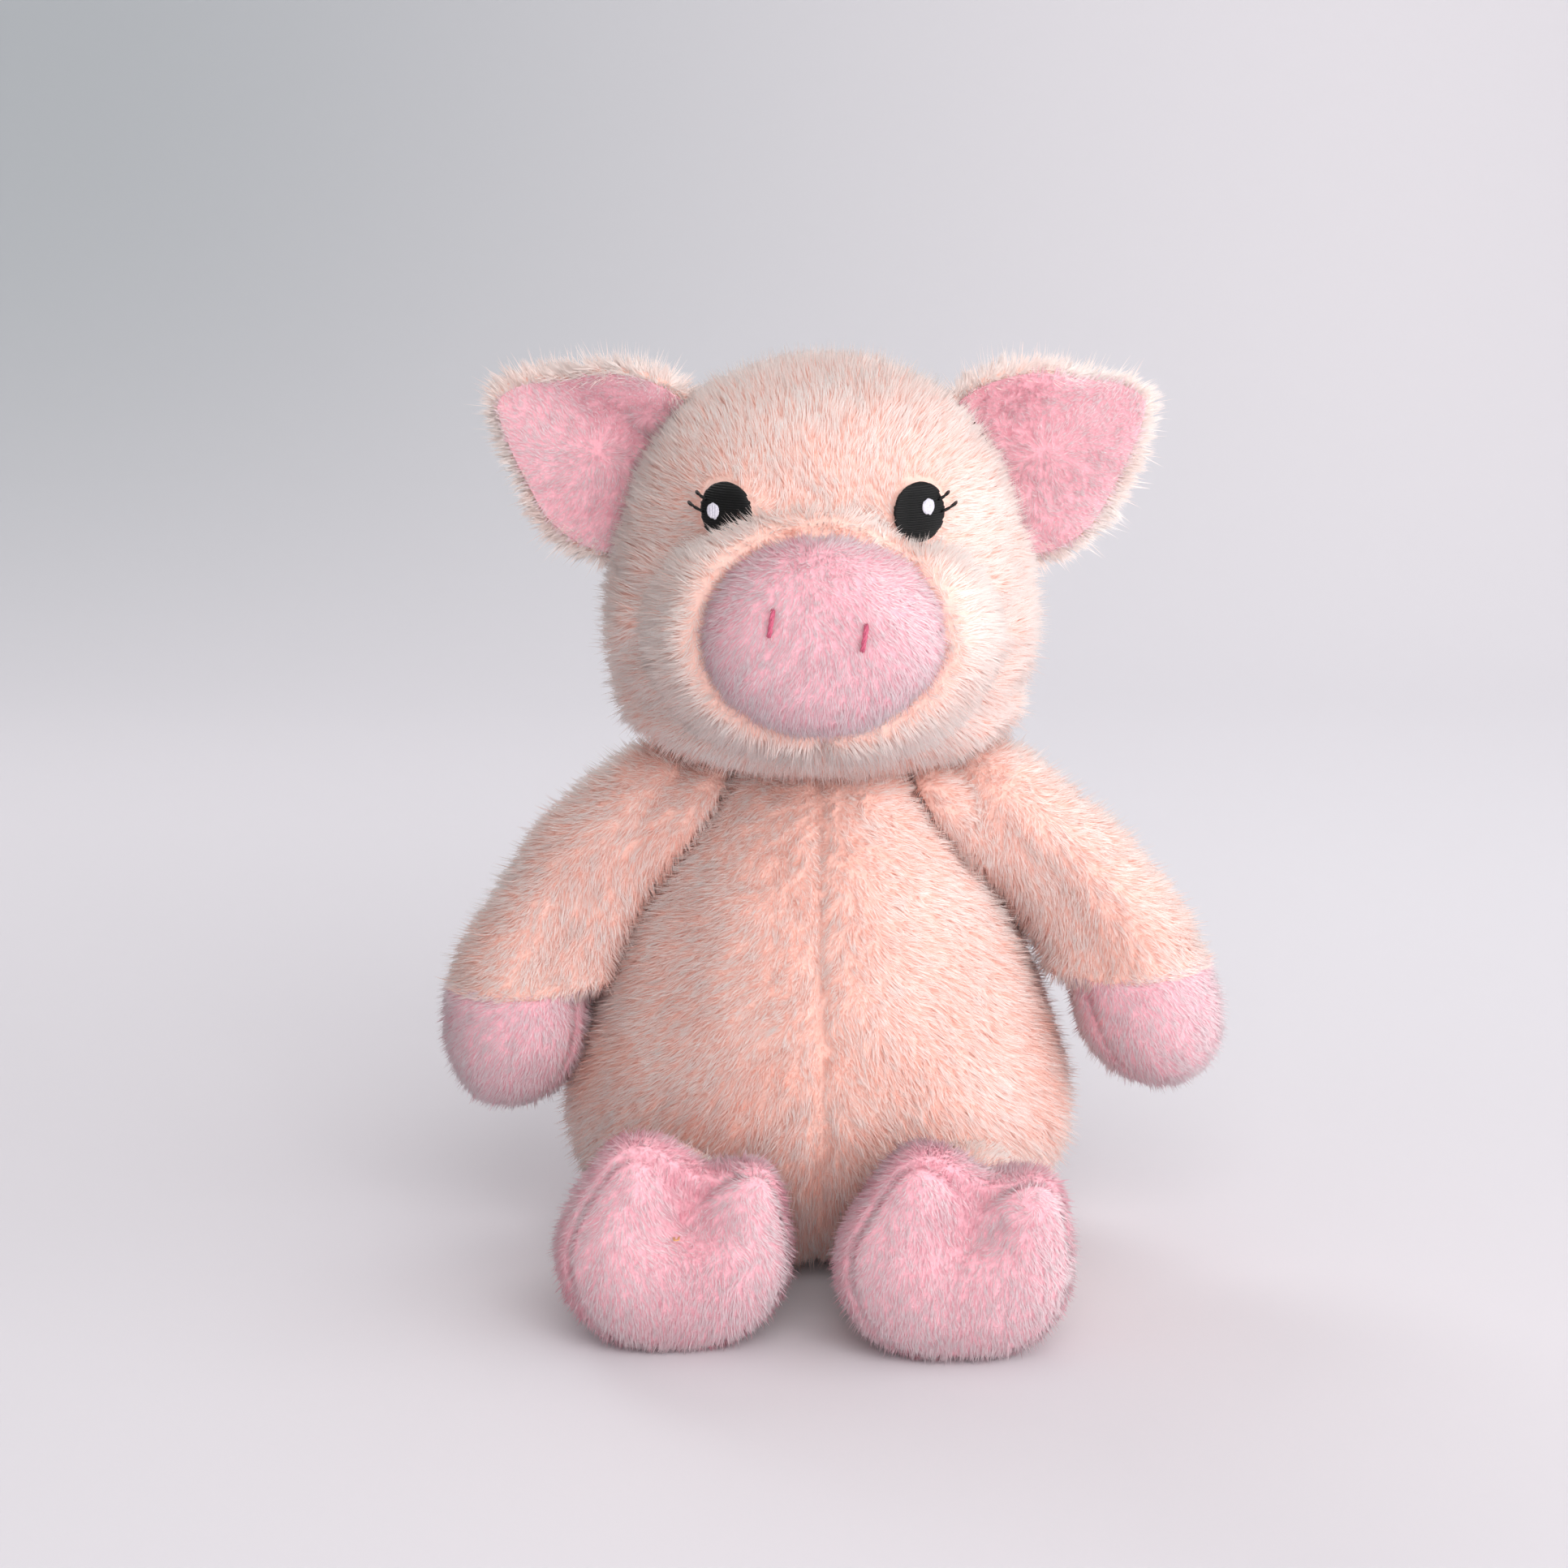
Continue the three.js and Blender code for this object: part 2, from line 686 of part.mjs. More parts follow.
// Foot: an upright pad with two toes on top, and a tack in the sole that draws in a cleft between them.
function footForm({ spread, reach }, rings, sides) {
  const toe = (angle, middle) => {
    const away = (angle - degrees(middle)) / degrees(toeWidthAngle);
    return Math.exp(-away * away);
  };
  const surface = (along, angle) => {
    const [depthShare, sizeShare] = rowAt(footShares, along);
    const toes = toe(angle, 90 - toeSpreadAngle) + toe(angle, 90 + toeSpreadAngle);
    const x = (footHalfWidth + toeRise * toes) * sizeShare * Math.cos(angle);
    const z = (footHalfHeight + toeRise * toes) * sizeShare * Math.sin(angle);
    const across = x / cleftHalfWidth;
    const away = Math.hypot(x, z - dimpleRise) / dimpleRadius;
    const aboveTack = THREE.MathUtils.smoothstep(z, 0, dimpleRise);
    const drawn = dimpleDepth * Math.exp(-away * away)
      + cleftDepth * Math.exp(-across * across) * aboveTack;
    const shown = THREE.MathUtils.smoothstep(depthShare, footSeamShare / 2, footSeamShare);
    return new THREE.Vector3(
      spread + x,
      footDepth * (1 - depthShare) - reach + drawn * shown,
      footHalfHeight - flatDepth + z,
    );
  };
  return closedForm(surface, rings, sides);
}

function legForm({ spread, reach }, rings, sides) {
  const length = reach - footDepth + legOverlap - legStart;
  const surface = (along, angle) => {
    const [depthShare, sizeShare] = rowAt(moundShares, along);
    return new THREE.Vector3(
      spread + legRadius * sizeShare * Math.cos(angle),
      -legStart - length * depthShare,
      legHeight + legRadius * sizeShare * Math.sin(angle),
    );
  };
  return closedForm(surface, rings, sides);
}

function hipPivot(sign) {
  return new THREE.Vector3(sign * hipSpread, -hipForward, legHeight);
}

// The place of a leg holds how far it stands from the middle and how far forward its sole reaches.
function makeLeg(group, side, sign, place) {
  const swings = [0, 1 / 2, 1].map((share) => sign * share * hipSwing);
  const torsoCut = sweptNeighbour(grown(torsoForm, neighbourGap), hipPivot(sign), upAxis, swings);
  const foot = footForm(place, limbRings, coverSides);
  const footInside = footForm(place, fillRings, fillSides);
  const legInside = legForm(place, fillRings, fillSides);
  const legRoom = solid(grown(legInside, -clothThickness));
  const footRoom = solid(grown(footInside, -clothThickness));
  const legCover = solid(legForm(place, fillRings, limbSides))
    .subtract(torsoCut)
    .subtract(legRoom)
    .subtract(solid(grown(foot, neighbourGap)));
  addPiece(group, `leg_sleeve_${side}`, legCover.intersect(aboveFloor), finishes.creamPlush);

  const footCover = solid(foot).intersect(aboveFloor).subtract(footRoom);
  const seamPlace = footDepth * (1 - footSeamShare) - place.reach;
  const upper = block(null, [seamPlace + seamGap / 2, overrun], null);
  const sole = block(null, [-overrun, seamPlace - seamGap / 2], null);
  const upperCover = footCover.intersect(upper).subtract(legRoom).subtract(torsoCut);
  addPiece(group, `foot_upper_${side}`, upperCover, finishes.pinkMinky);
  addPiece(group, `foot_sole_${side}`, footCover.intersect(sole), finishes.pinkMinky);

  const fillInset = clothThickness + fillGap;
  const fill = solid(grown(legInside, -fillInset))
    .add(solid(grown(footInside, -fillInset)))
    .subtract(torsoCut);
  addPiece(group, `leg_stuffing_${side}`, fill, finishes.softFill);
}

// Tail: a roll that starts in the back seam and winds about a level line that runs out behind.
function makeTail(group) {
  const rootPlace = torsoBack - tailRadius;
  const path = (share) => {
    const turn = 2 * Math.PI * tailTurns * share;
    const curl = tailCurlRadius * Math.sqrt(Math.min(1, share / tailOpeningShare));
    return new THREE.Vector3(
      curl * Math.sin(turn),
      rootPlace + tailRadius + tailPitch * tailTurns * share,
      tailHeight - curl * Math.cos(turn),
    );
  };
  const surface = (along, angle) => {
    const step = 1 / tailRings;
    const ahead = path(Math.min(along + step, 1));
    const tangent = ahead.sub(path(Math.max(along - step, 0))).normalize();
    const sideways = new THREE.Vector3().crossVectors(tangent, upAxis).normalize();
    const upwards = new THREE.Vector3().crossVectors(sideways, tangent);
    const taper = THREE.MathUtils.lerp(1, tailTipShare, along);
    const rounded = Math.sqrt(Math.min(1, Math.min(along, 1 - along) / tailRoundingShare));
    return path(along)
      .addScaledVector(sideways, tailRadius * taper * rounded * Math.cos(angle))
      .addScaledVector(upwards, tailRadius * taper * rounded * Math.sin(angle));
  };
  const roll = closedForm(surface, tailRings, tailSides);
  const torsoCut = solid(grown(torsoForm, neighbourGap));
  addPiece(group, 'tail', solid(roll).subtract(torsoCut), finishes.creamPlush);
}

function pieceGroup(parent, name, pivot) {
  const group = new THREE.Group();
  group.name = name;
  group.position.copy(pivot);
  parent.add(group);
  return group;
}

const plushPig = new THREE.Group();
plushPig.name = 'plush_pig';
const still = new THREE.Vector3();

const torso = pieceGroup(plushPig, 'torso', still);
makeTorso(torso);
makeTail(torso);
const head = pieceGroup(plushPig, 'head', neckPivot);
makeHead(head);
makeEmbroidery(head);
const sides = [
  {
    side: 'left',
    sign: 1,
    splay: armSplayLeft,
    place: { spread: legSpreadLeft, reach: footReachLeft },
  },
  {
    side: 'right',
    sign: -1,
    splay: armSplayRight,
    place: { spread: -legSpreadRight, reach: footReachRight },
  },
];
for (const { side, sign, splay, place } of sides) {
  makeEar(pieceGroup(plushPig, `ear_${side}`, earPivot(sign)), side, sign);
  makeArm(pieceGroup(plushPig, `arm_${side}`, shoulderPivot(sign)), side, sign, splay);
  makeLeg(pieceGroup(plushPig, `leg_${side}`, hipPivot(sign)), side, sign, place);
}

// The origin lies under the middle of the whole toy, on the surface that it sits on.
plushPig.updateMatrixWorld(true);
const extent = new THREE.Box3().setFromObject(plushPig, true);
const middle = extent.getCenter(new THREE.Vector3());
plushPig.position.set(-middle.x, -middle.y, -extent.min.z);

export default plushPig;
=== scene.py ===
"""A stuffed pig that sits upright: soft bodies, piles of single strands on them, embroidery and a studio."""
import json
import math

import bpy
import numpy as np
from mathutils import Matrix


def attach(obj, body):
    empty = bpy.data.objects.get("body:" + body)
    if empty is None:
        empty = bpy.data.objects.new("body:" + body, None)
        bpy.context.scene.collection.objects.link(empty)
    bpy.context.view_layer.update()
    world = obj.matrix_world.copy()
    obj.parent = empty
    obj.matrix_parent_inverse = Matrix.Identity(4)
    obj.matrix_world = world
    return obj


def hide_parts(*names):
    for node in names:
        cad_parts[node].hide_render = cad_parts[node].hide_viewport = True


bl_info = {
    "name": "Sitting plush pig",
    "version": (1, 0, 0),
    "blender": (4, 5, 0),
    "location": "3D View > Sidebar > Plush pig",
    "description": "Builds the covers, pile, ears, embroidery and stage of a sitting plush pig",
    "category": "Object",
}

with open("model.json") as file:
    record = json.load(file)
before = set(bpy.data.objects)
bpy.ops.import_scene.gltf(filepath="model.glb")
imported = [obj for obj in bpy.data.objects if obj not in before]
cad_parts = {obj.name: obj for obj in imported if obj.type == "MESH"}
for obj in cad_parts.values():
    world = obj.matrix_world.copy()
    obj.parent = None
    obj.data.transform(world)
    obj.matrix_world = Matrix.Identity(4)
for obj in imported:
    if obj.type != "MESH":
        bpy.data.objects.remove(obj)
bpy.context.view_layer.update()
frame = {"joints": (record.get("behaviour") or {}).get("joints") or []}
JOINTS = {joint["name"]: joint for joint in frame["joints"]}

# The middle line of the body on the floor, which every form below is measured from
MIDDLE = np.array([*JOINTS["neck"]["pos_m"][:2], 0.0])

# Profiles as shares of the named sizes. Upright forms: height, width, front, back.
TORSO_SHARES = [
    (0, 0, 0, 0), (0.015, 0.46, 0.34, 0.52), (0.08, 0.83, 0.72, 0.86), (0.2, 0.99, 0.95, 1),
    (0.35, 0.99, 1, 0.98), (0.5, 0.88, 0.93, 0.9), (0.66, 0.75, 0.8, 0.78), (0.81, 0.58, 0.63, 0.63),
    (0.92, 0.42, 0.46, 0.46), (0.985, 0.22, 0.25, 0.25), (1, 0, 0, 0),
]
HEAD_SHARES = [
    (0, 0, 0, 0), (0.035, 0.56, 0.56, 0.52), (0.11, 0.88, 0.87, 0.82), (0.25, 0.975, 0.97, 0.95),
    (0.42, 1, 1, 1), (0.6, 0.93, 0.96, 0.97), (0.75, 0.825, 0.86, 0.87), (0.88, 0.63, 0.68, 0.68),
    (0.965, 0.36, 0.4, 0.4), (1, 0, 0, 0),
]
# Mounds and feet: depth, size of the ring
MOUND_SHARES = [
    (0, 0), (0.08, 0.72), (0.26, 0.96), (0.46, 1), (0.68, 0.93), (0.86, 0.73), (0.965, 0.42), (1, 0),
]
FOOT_SHARES = [
    (0, 0), (0.06, 0.5), (0.22, 0.84), (0.45, 0.98), (0.62, 1), (0.8, 0.9), (0.94, 0.6), (0.99, 0.3), (1, 0),
]
# Arms: along the spine, thickness from side to side, thickness from front to back
ARM_SHARES = [
    (0, 0, 0), (0.05, 0.62, 0.6), (0.16, 0.86, 0.86), (0.34, 0.82, 0.88), (0.54, 0.87, 0.92),
    (0.7, 0.98, 0.96), (0.85, 0.97, 0.9), (0.96, 0.6, 0.56), (1, 0, 0),
]
ARM_SPINE_SHARES = [(-0.1, 0.085), (0, 0), (0.245, -0.22), (0.39, -0.48), (0.43, -0.7), (0.44, -0.9)]
EAR_OUTLINE_SHARES = [
    (-0.21, 0.8), (0.1, 0.99), (0.42, 0.9), (0.72, 0.52), (0.93, 0.24), (0.995, 0.02), (0.9, -0.26),
    (0.67, -0.66), (0.36, -1), (0.08, -1.04), (-0.21, -0.8),
]

SIDES = (("left", 1), ("right", -1))
TURN = 2 * math.pi
# How finely the profiles are tabled, and an amount that only keeps a division from zero
PROFILE_STEPS, SLIGHT = 400, 1e-6


def unit(vectors):
    """Each vector over its own length."""
    return vectors / np.maximum(np.linalg.norm(vectors, axis=-1, keepdims=True), 1e-12)


def smooth(low, high, value):
    """0 below low, 1 above high, and 3 t^2 - 2 t^3 between them."""
    share = np.clip((value - low) / (high - low), 0, 1)
    return share * share * (3 - 2 * share)


def bump(value, width):
    """A bell curve: exp of minus the square of value over width."""
    return np.exp(-np.square(value / width))


def waves(points, length, seed):
    """Smooth noise between about -1 and 1: a sum of sines along random directions, about length apart."""
    count, least, most, gain = 9, 0.7, 1.4, 2.2
    random = np.random.default_rng(seed)
    directions = unit(random.normal(size=(count, 3))) * random.uniform(least, most, (count, 1))
    phases = random.uniform(0, TURN, count)
    return np.sin(points @ directions.T * (TURN / length) + phases).mean(1) * gain


def rows_at(table, along):
    """The columns of a table of shares, read along a smooth curve through its rows: a cubic between each
    two rows, whose slopes come from the rows on either side, mirrored beyond the ends to round the poles."""
    rows = np.array(table, float)
    mirror = np.array([1.0] + [-1.0] * (rows.shape[1] - 1))
    rows = np.vstack([rows[1] * mirror, rows, rows[-2] * mirror])
    last = len(rows) - 3
    index = np.clip(np.floor(along * last).astype(int), 0, last - 1)
    part = (along * last - index)[..., None]
    before, start, end, after = (rows[index + step] for step in range(4))
    slope_in, slope_out = (end - before) / 2, (after - start) / 2
    curved = 3 * (end - start) - 2 * slope_in - slope_out
    turned = 2 * (start - end) + slope_in + slope_out
    values = start + part * (slope_in + part * (curved + part * turned))
    return [values[..., column] for column in range(values.shape[-1])]


def curve_through(points, share, closed=False):
    """Points on a centripetal Catmull-Rom curve: between each two points a cubic whose end slopes follow
    the neighbouring points, spaced by the square root of their distances."""
    points = np.array(points, float)
    if closed:
        rows = np.vstack([points[-1], points, points[:2]])
    else:
        rows = np.vstack([2 * points[0] - points[1], points, 2 * points[-1] - points[-2]])
    last = len(rows) - 3
    index = np.clip(np.floor(share * last).astype(int), 0, last - 1)
    part = (share * last - index)[..., None]
    before, start, end, after = (rows[index + step] for step in range(4))
    gap = [np.sqrt(np.linalg.norm(b - a, axis=-1, keepdims=True))
           for a, b in ((before, start), (start, end), (end, after))]
    slope_in = (start - before) / gap[0] - (end - before) / (gap[0] + gap[1]) + (end - start) / gap[1]
    slope_out = (end - start) / gap[1] - (after - start) / (gap[1] + gap[2]) + (after - end) / gap[2]
    slope_in, slope_out = slope_in * gap[1], slope_out * gap[1]
    curved = 3 * (end - start) - 2 * slope_in - slope_out
    turned = 2 * (start - end) + slope_in + slope_out
    return start + part * (slope_in + part * (curved + part * turned))


class UprightForm:
    """A form round a standing axis. At height share h: x = width w(h) cos a, y = depth d(h) sin a - forward,
    z = bottom + height h, where depth is the front one where sin a is negative and the back one behind."""

    def __init__(self, shares, bottom, height, width, front, back, forward=0.0):
        self.shares, self.bottom, self.height = shares, bottom, height
        self.width, self.front, self.back, self.forward = width, front, back, forward
        rise, side, fore, aft = rows_at(shares, np.linspace(0, 1, PROFILE_STEPS))
        self.levels = bottom + height * rise
        self.halves = width * side, front * fore, back * aft

    def surface(self, along, angle):
        """The points at shares of the profile and turns round the axis."""
        rise, side, fore, aft = rows_at(self.shares, along)
        depth = np.where(np.sin(angle) < 0, self.front * fore, self.back * aft)
        x = self.width * side * np.cos(angle)
        return np.stack([x, depth * np.sin(angle) - self.forward, self.bottom + self.height * rise], -1)

    def halves_at(self, z):
        """Half width, front depth and back depth at height z, and almost nothing beyond the poles."""
        inside = (z > self.levels[0]) & (z < self.levels[-1])
        return [np.where(inside, np.interp(z, self.levels, half), 0) + SLIGHT for half in self.halves]

    def reach(self, points):
        """How far out each point lies: 0 on the axis, 1 on the surface."""
        x, y, z = points.T
        width, front, back = self.halves_at(z)
        return np.hypot(x / width, (y + self.forward) / np.where(y + self.forward < 0, front, back))

    def front_at(self, x, z):
        """The y of the front surface over x and z."""
        width, front, _ = self.halves_at(z)
        return -self.forward - front * np.sqrt(np.clip(1 - np.square(x / width), 0, 1))

    def side_at(self, y, z):
        """The half width of the surface at depth y and height z."""
        width, front, back = self.halves_at(z)
        depth = np.where(y + self.forward < 0, front, back)
        return width * np.sqrt(np.clip(1 - np.square((y + self.forward) / depth), 0, 1))

    def crossings(self, x, y):
        """The lowest and the highest z of the surface over x and y."""
        width, front, back = self.halves
        depth = np.where((y + self.forward < 0)[:, None], front, back) + SLIGHT
        inside = np.hypot(x[:, None] / (width + SLIGHT), (y + self.forward)[:, None] / depth) < 1
        low = self.levels[np.argmax(inside, 1)]
        high = self.levels[inside.shape[1] - 1 - np.argmax(inside[:, ::-1], 1)]
        return low, high


class MoundForm:
    """A form that grows forward. At depth share d, whose ring has the size s(d): x = width s cos a,
    y = -root - depth d, z = centre + height s sin a."""

    def __init__(self, shares, root, depth, width, height, centre, middle=0.0):
        self.shares, self.root, self.depth = shares, root, depth
        self.width, self.height, self.centre, self.middle = width, height, centre, middle
        depths, sizes = rows_at(shares, np.linspace(0, 1, PROFILE_STEPS))
        widest = int(np.argmax(sizes))
        self.front_sizes, self.front_depths = sizes[widest:][::-1], depths[widest:][::-1]
        self.all_sizes, self.all_depths = sizes, depths

    def surface(self, along, angle):
        """The points at shares of the profile and turns round the axis."""
        depth, size = rows_at(self.shares, along)
        x = self.middle + self.width * size * np.cos(angle)
        z = self.centre + self.height * size * np.sin(angle)
        return np.stack([x, -self.root - self.depth * depth, z], -1)

    def ring(self, x, z):
        """How large a ring passes through x and z: 1 for the widest."""
        return np.hypot((x - self.middle) / self.width, (z - self.centre) / self.height)

    def front_at(self, x, z):
        """The y of the front surface over x and z."""
        return -self.root - self.depth * np.interp(self.ring(x, z), self.front_sizes, self.front_depths)

    def reach(self, points):
        """How far out each point lies: 0 on the axis, 1 on the surface, and very far beyond the poles."""
        x, y, z = points.T
        depth = (-y - self.root) / self.depth
        size = np.where((depth > 0) & (depth < 1), np.interp(depth, self.all_depths, self.all_sizes), 0)
        return self.ring(x, z) / (size + SLIGHT)


TORSO = UprightForm(TORSO_SHARES, bottom=-0.0005, height=0.128, width=0.061, front=0.050, back=0.046)
HEAD = UprightForm(
    HEAD_SHARES, bottom=0.117, height=0.098, width=0.051, front=0.047, back=0.045, forward=0.004)
MUZZLE = MoundForm(MOUND_SHARES, root=0.026, depth=0.041, width=0.041, height=0.0305, centre=0.157474)
SNOUT = MoundForm(MOUND_SHARES, root=0.04998, depth=0.0275, width=0.027, height=0.0225, centre=0.161474)

# Eyes, glints and nostrils: half sizes, and places across and upward. The glints are placed from their eyes.
EYE_SPREAD, EYE_HEIGHT = 0.0212, 0.1848
EYE_HALF_WIDTH, EYE_HALF_HEIGHT = 0.0057, 0.0063
GLINTS = {"left": (0.0020, 0.0012), "right": (-0.0029, 0.0002)}
GLINT_HALF_WIDTH, GLINT_HALF_HEIGHT = 0.0014, 0.0017
NOSTRILS = {"left": (0.0086, 0.1642), "right": (-0.0113, 0.1672)}
NOSTRIL_HALF_HEIGHT, NOSTRIL_TILT = 0.0031, math.radians(9)
# The lashes of an eye: where each starts and ends, outward and upward from the middle of the eye
LASHES = (((0.0042, 0.0022), (0.0067, 0.0036)), ((0.0048, -0.0004), (0.0085, 0.0012)))
THREAD = 0.0005

# Ears: how far they reach, half their root, the lean in degrees and how deep they are cupped
EAR_REACH, EAR_HALF_ROOT, EAR_LEAN, EAR_CUP = 0.042, 0.024, 25.5, 0.007
EAR_MIDDLE_SHARE = 0.3

# Arms: the wrist lies a drop below the shoulder, and each arm is splayed by an angle in degrees
ARM_LENGTH, ARM_RADIUS, ARM_FORWARD, WRIST_DROP = 0.086, 0.0174, 0.009, 0.047
ARM_SPLAYS = {"left": 6.5, "right": 0.0}

# Each leg: how far it stands from the middle, and how far forward its sole reaches
LEG_PLACES = {"left": (0.0297, 0.088), "right": (-0.033, 0.082)}
LEG_RADIUS, LEG_HEIGHT, LEG_START, LEG_OVERLAP = 0.0185, 0.022, 0.014, 0.014
FOOT_HALF_WIDTH, FOOT_HALF_HEIGHT, FOOT_DEPTH, FLAT_DEPTH = 0.0268, 0.0236, 0.033, 0.0005
# Each rise of a foot's outline: the way it points and how wide it is in degrees, and how far it stands out
TOES = ((112, 21, 0.0044), (72, 15, -0.0030), (44, 18, 0.0044))
DIMPLE_DEPTH, DIMPLE_RISE, DIMPLE_RADIUS = 0.0042, 0.008, 0.0115
CLEFT_DEPTH, CLEFT_HALF_WIDTH, CLEFT_SIDE = 0.0028, 0.0095, 0.0040
# The rim's seam: its place in the depth of the foot, and how much that changes over half the width
FOOT_SEAM_SHARE, FOOT_SEAM_SLANT_SHARE = 0.73, 0.07
TACK_SIDE, TACK_OUTWARD, TACK_HEIGHT = "right", 0.0007, 0.0285
TACK_HALF_LENGTH, TACK_SLANT = 0.0006, 0.0001


def colour(code):
    """A colour written as six hexadecimal digits, as the linear values that a material takes."""
    values = np.array([int(code[place:place + 2], 16) for place in (0, 2, 4)]) / 255
    return tuple(np.where(values <= 0.04045, values / 12.92, ((values + 0.055) / 1.055) ** 2.4))


def colour_property(name, description, code):
    return bpy.props.FloatVectorProperty(
        name=name, description=description, subtype="COLOR", size=3, min=0, max=1, default=colour(code))


def length_property(name, description, default):
    return bpy.props.FloatProperty(
        name=name, description=description, default=default, min=0, unit="LENGTH", precision=5)


def share_property(name, description, default):
    return bpy.props.FloatProperty(name=name, description=description, default=default, min=0, max=1)


def number_property(name, description, default):
    return bpy.props.FloatProperty(name=name, description=description, default=default, min=0)


def angle_property(name, description, degrees):
    return bpy.props.FloatProperty(
        name=name, description=description, default=math.radians(degrees), subtype="ANGLE", unit="ROTATION")


class PlushPile(bpy.types.PropertyGroup):
    """The long cream pile."""
    length: length_property("Length", "Length of one strand", 0.0048)
    width: length_property("Width", "Width of a strand at its root", 0.00029)
    density: number_property("Density", "Strands on each square millimetre", 3.5)
    lean: angle_property("Lean", "Angle between a strand and the cloth's normal", 41)
    tuft: length_property("Tuft", "Size of the tufts that the strands gather in", 0.0021)
    gather: share_property("Gather", "How far the tips of a tuft draw together", 0.7)
    even: share_property("Evenness", "How much of the cloth's normal the shading takes", 0.56)
    tip: colour_property("Tip", "Colour of the tips", "fff4f0")
    shade: colour_property("Shade", "Colour of the darker strands", "ffe5de")
    # The deeper root colour is partly the pile's own tone and partly painted shade down among the strands.
    root: colour_property("Root", "Colour at the roots", "ffc0b0")
    # The warm colour marks the seams and is also painted shade in the creases beside the arms, under the
    # head and chin and low on the belly.
    warm: colour_property("Warm", "Colour of the strands beside a seam", "ffb5a1")
    cloth: colour_property("Cloth", "Colour of the backing", "fccabc")
    cloth_pale: colour_property("Pale cloth", "Colour of the backing's paler patches", "ffd8cd")


class MinkyPile(bpy.types.PropertyGroup):
    """The short pink pile."""
    length: length_property("Length", "Length of one strand", 0.0027)
    width: length_property("Width", "Width of a strand at its root", 0.00030)
    density: number_property("Density", "Strands on each square millimetre", 4.1)
    lean: angle_property("Lean", "Angle between a strand and the cloth's normal", 50)
    tuft: length_property("Tuft", "Size of the tufts that the strands gather in", 0.0014)
    gather: share_property("Gather", "How far the tips of a tuft draw together", 0.5)
    even: share_property("Evenness", "How much of the cloth's normal the shading takes", 0.58)
    tip: colour_property("Tip", "Colour of the tips", "f4e6e9")
    shade: colour_property("Shade", "Colour of the darker strands", "f0d5da")
    # The deeper root colour is partly the pile's own tone and partly painted shade down among the strands.
    root: colour_property("Root", "Colour at the roots", "eeb0bc")
    # The warm pink colours the seams and most of each foot's upper, and is painted shade in the ears'
    # hollows and the feet's dimples.
    warm: colour_property("Warm", "Colour of the strands in folds and at seams", "f095a8")
    cloth: colour_property("Cloth", "Colour of the backing", "f0adb9")
    cloth_pale: colour_property("Pale cloth", "Colour of the backing's paler patches", "f5bfc9")


class ThreadColours(bpy.types.PropertyGroup):
    """Sewing and embroidery threads."""
    eye: colour_property("Eye", "Embroidery thread of the eyes", "040405")
    glint: colour_property("Glint", "Embroidery thread of the glints", "ccc8e2")
    nostril: colour_property("Nostril", "Thread of the nostril stitches", "bd5872")
    tack: colour_property("Tack", "Thread of the tack in one sole", "f0a070")


class StudioSettings(bpy.types.PropertyGroup):
    """The floor, the backdrop, the lamps and the camera."""
    floor: colour_property("Floor", "Colour of the floor round the toy", "dfdbe0")
    # The middle colour paints a paler band of light half way back on the sweep and is also the room's colour
    # seen behind it; the far colour is painted shade at the far left of the backdrop.
    middle: colour_property("Middle", "Colour of the sweep half way back", "e8e5ea")
    far: colour_property("Far left", "Colour of the backdrop at the far left", "a8abaf")
    distance: length_property("Camera distance", "From the camera to the middle of the toy", 0.95)
    elevation: angle_property("Camera elevation", "Height of the camera over the horizon", 15)
    brightness: number_property("Lamps", "Multiplies the power of every lamp", 1.0)
    sky: number_property("Room light", "Strength of the light all round", 0.3)


# The UV map that the strands' colours are read from, and how far up it the colour of the roots reaches
STRAND_MAP, ROOT_COLOUR_SHARE = "OFBake", 0.72


class Wire:
    """One socket in a material, which sums, products and other nodes are written on as expressions."""

    def __init__(self, tree, socket):
        self.tree, self.socket = tree, socket

    def node(self, kind, settings=(), inputs=(), output=0):
        """A node of a type, with its settings made first and then its sockets, as values or links."""
        made = self.tree.nodes.new(kind)
        for name, value in dict(settings).items():
            setattr(made, name, value)
        for key, value in dict(inputs).items():
            if isinstance(value, Wire):
                self.tree.links.new(value.socket, made.inputs[key])
            else:
                made.inputs[key].default_value = value
        return Wire(self.tree, made.outputs[output])

    def maths(self, operation, first, second=0.0):
        return self.node("ShaderNodeMath", {"operation": operation}, {0: first, 1: second})

    def __add__(self, other):
        return self.maths("ADD", self, other)

    def __mul__(self, other):
        return self.maths("MULTIPLY", self, other)

    def __sub__(self, other):
        return self.maths("SUBTRACT", self, other)

    def __rsub__(self, other):
        return self.maths("SUBTRACT", other, self)

    __radd__, __rmul__ = __add__, __mul__

    def above(self, limit):
        return self.maths("GREATER_THAN", self, limit)

    def part(self, axis):
        """One number of a vector."""
        return self.node("ShaderNodeSeparateXYZ", inputs={0: self}, output=axis)

    def soft_step(self, start, end):
        """0 at the start, 1 at the end, with a smooth rise between them."""
        settings = {"interpolation_type": "SMOOTHSTEP"}
        return self.node("ShaderNodeMapRange", settings, {0: self, 1: start, 2: end})

    def mix(self, low, high):
        """low where this is 0, high where it is 1; both are colours or links to colours."""
        low, high = (value if isinstance(value, Wire) else (*value, 1.0) for value in (low, high))
        return self.node("ShaderNodeMix", {"data_type": "RGBA"}, {0: self, 6: low, 7: high}, output=2)


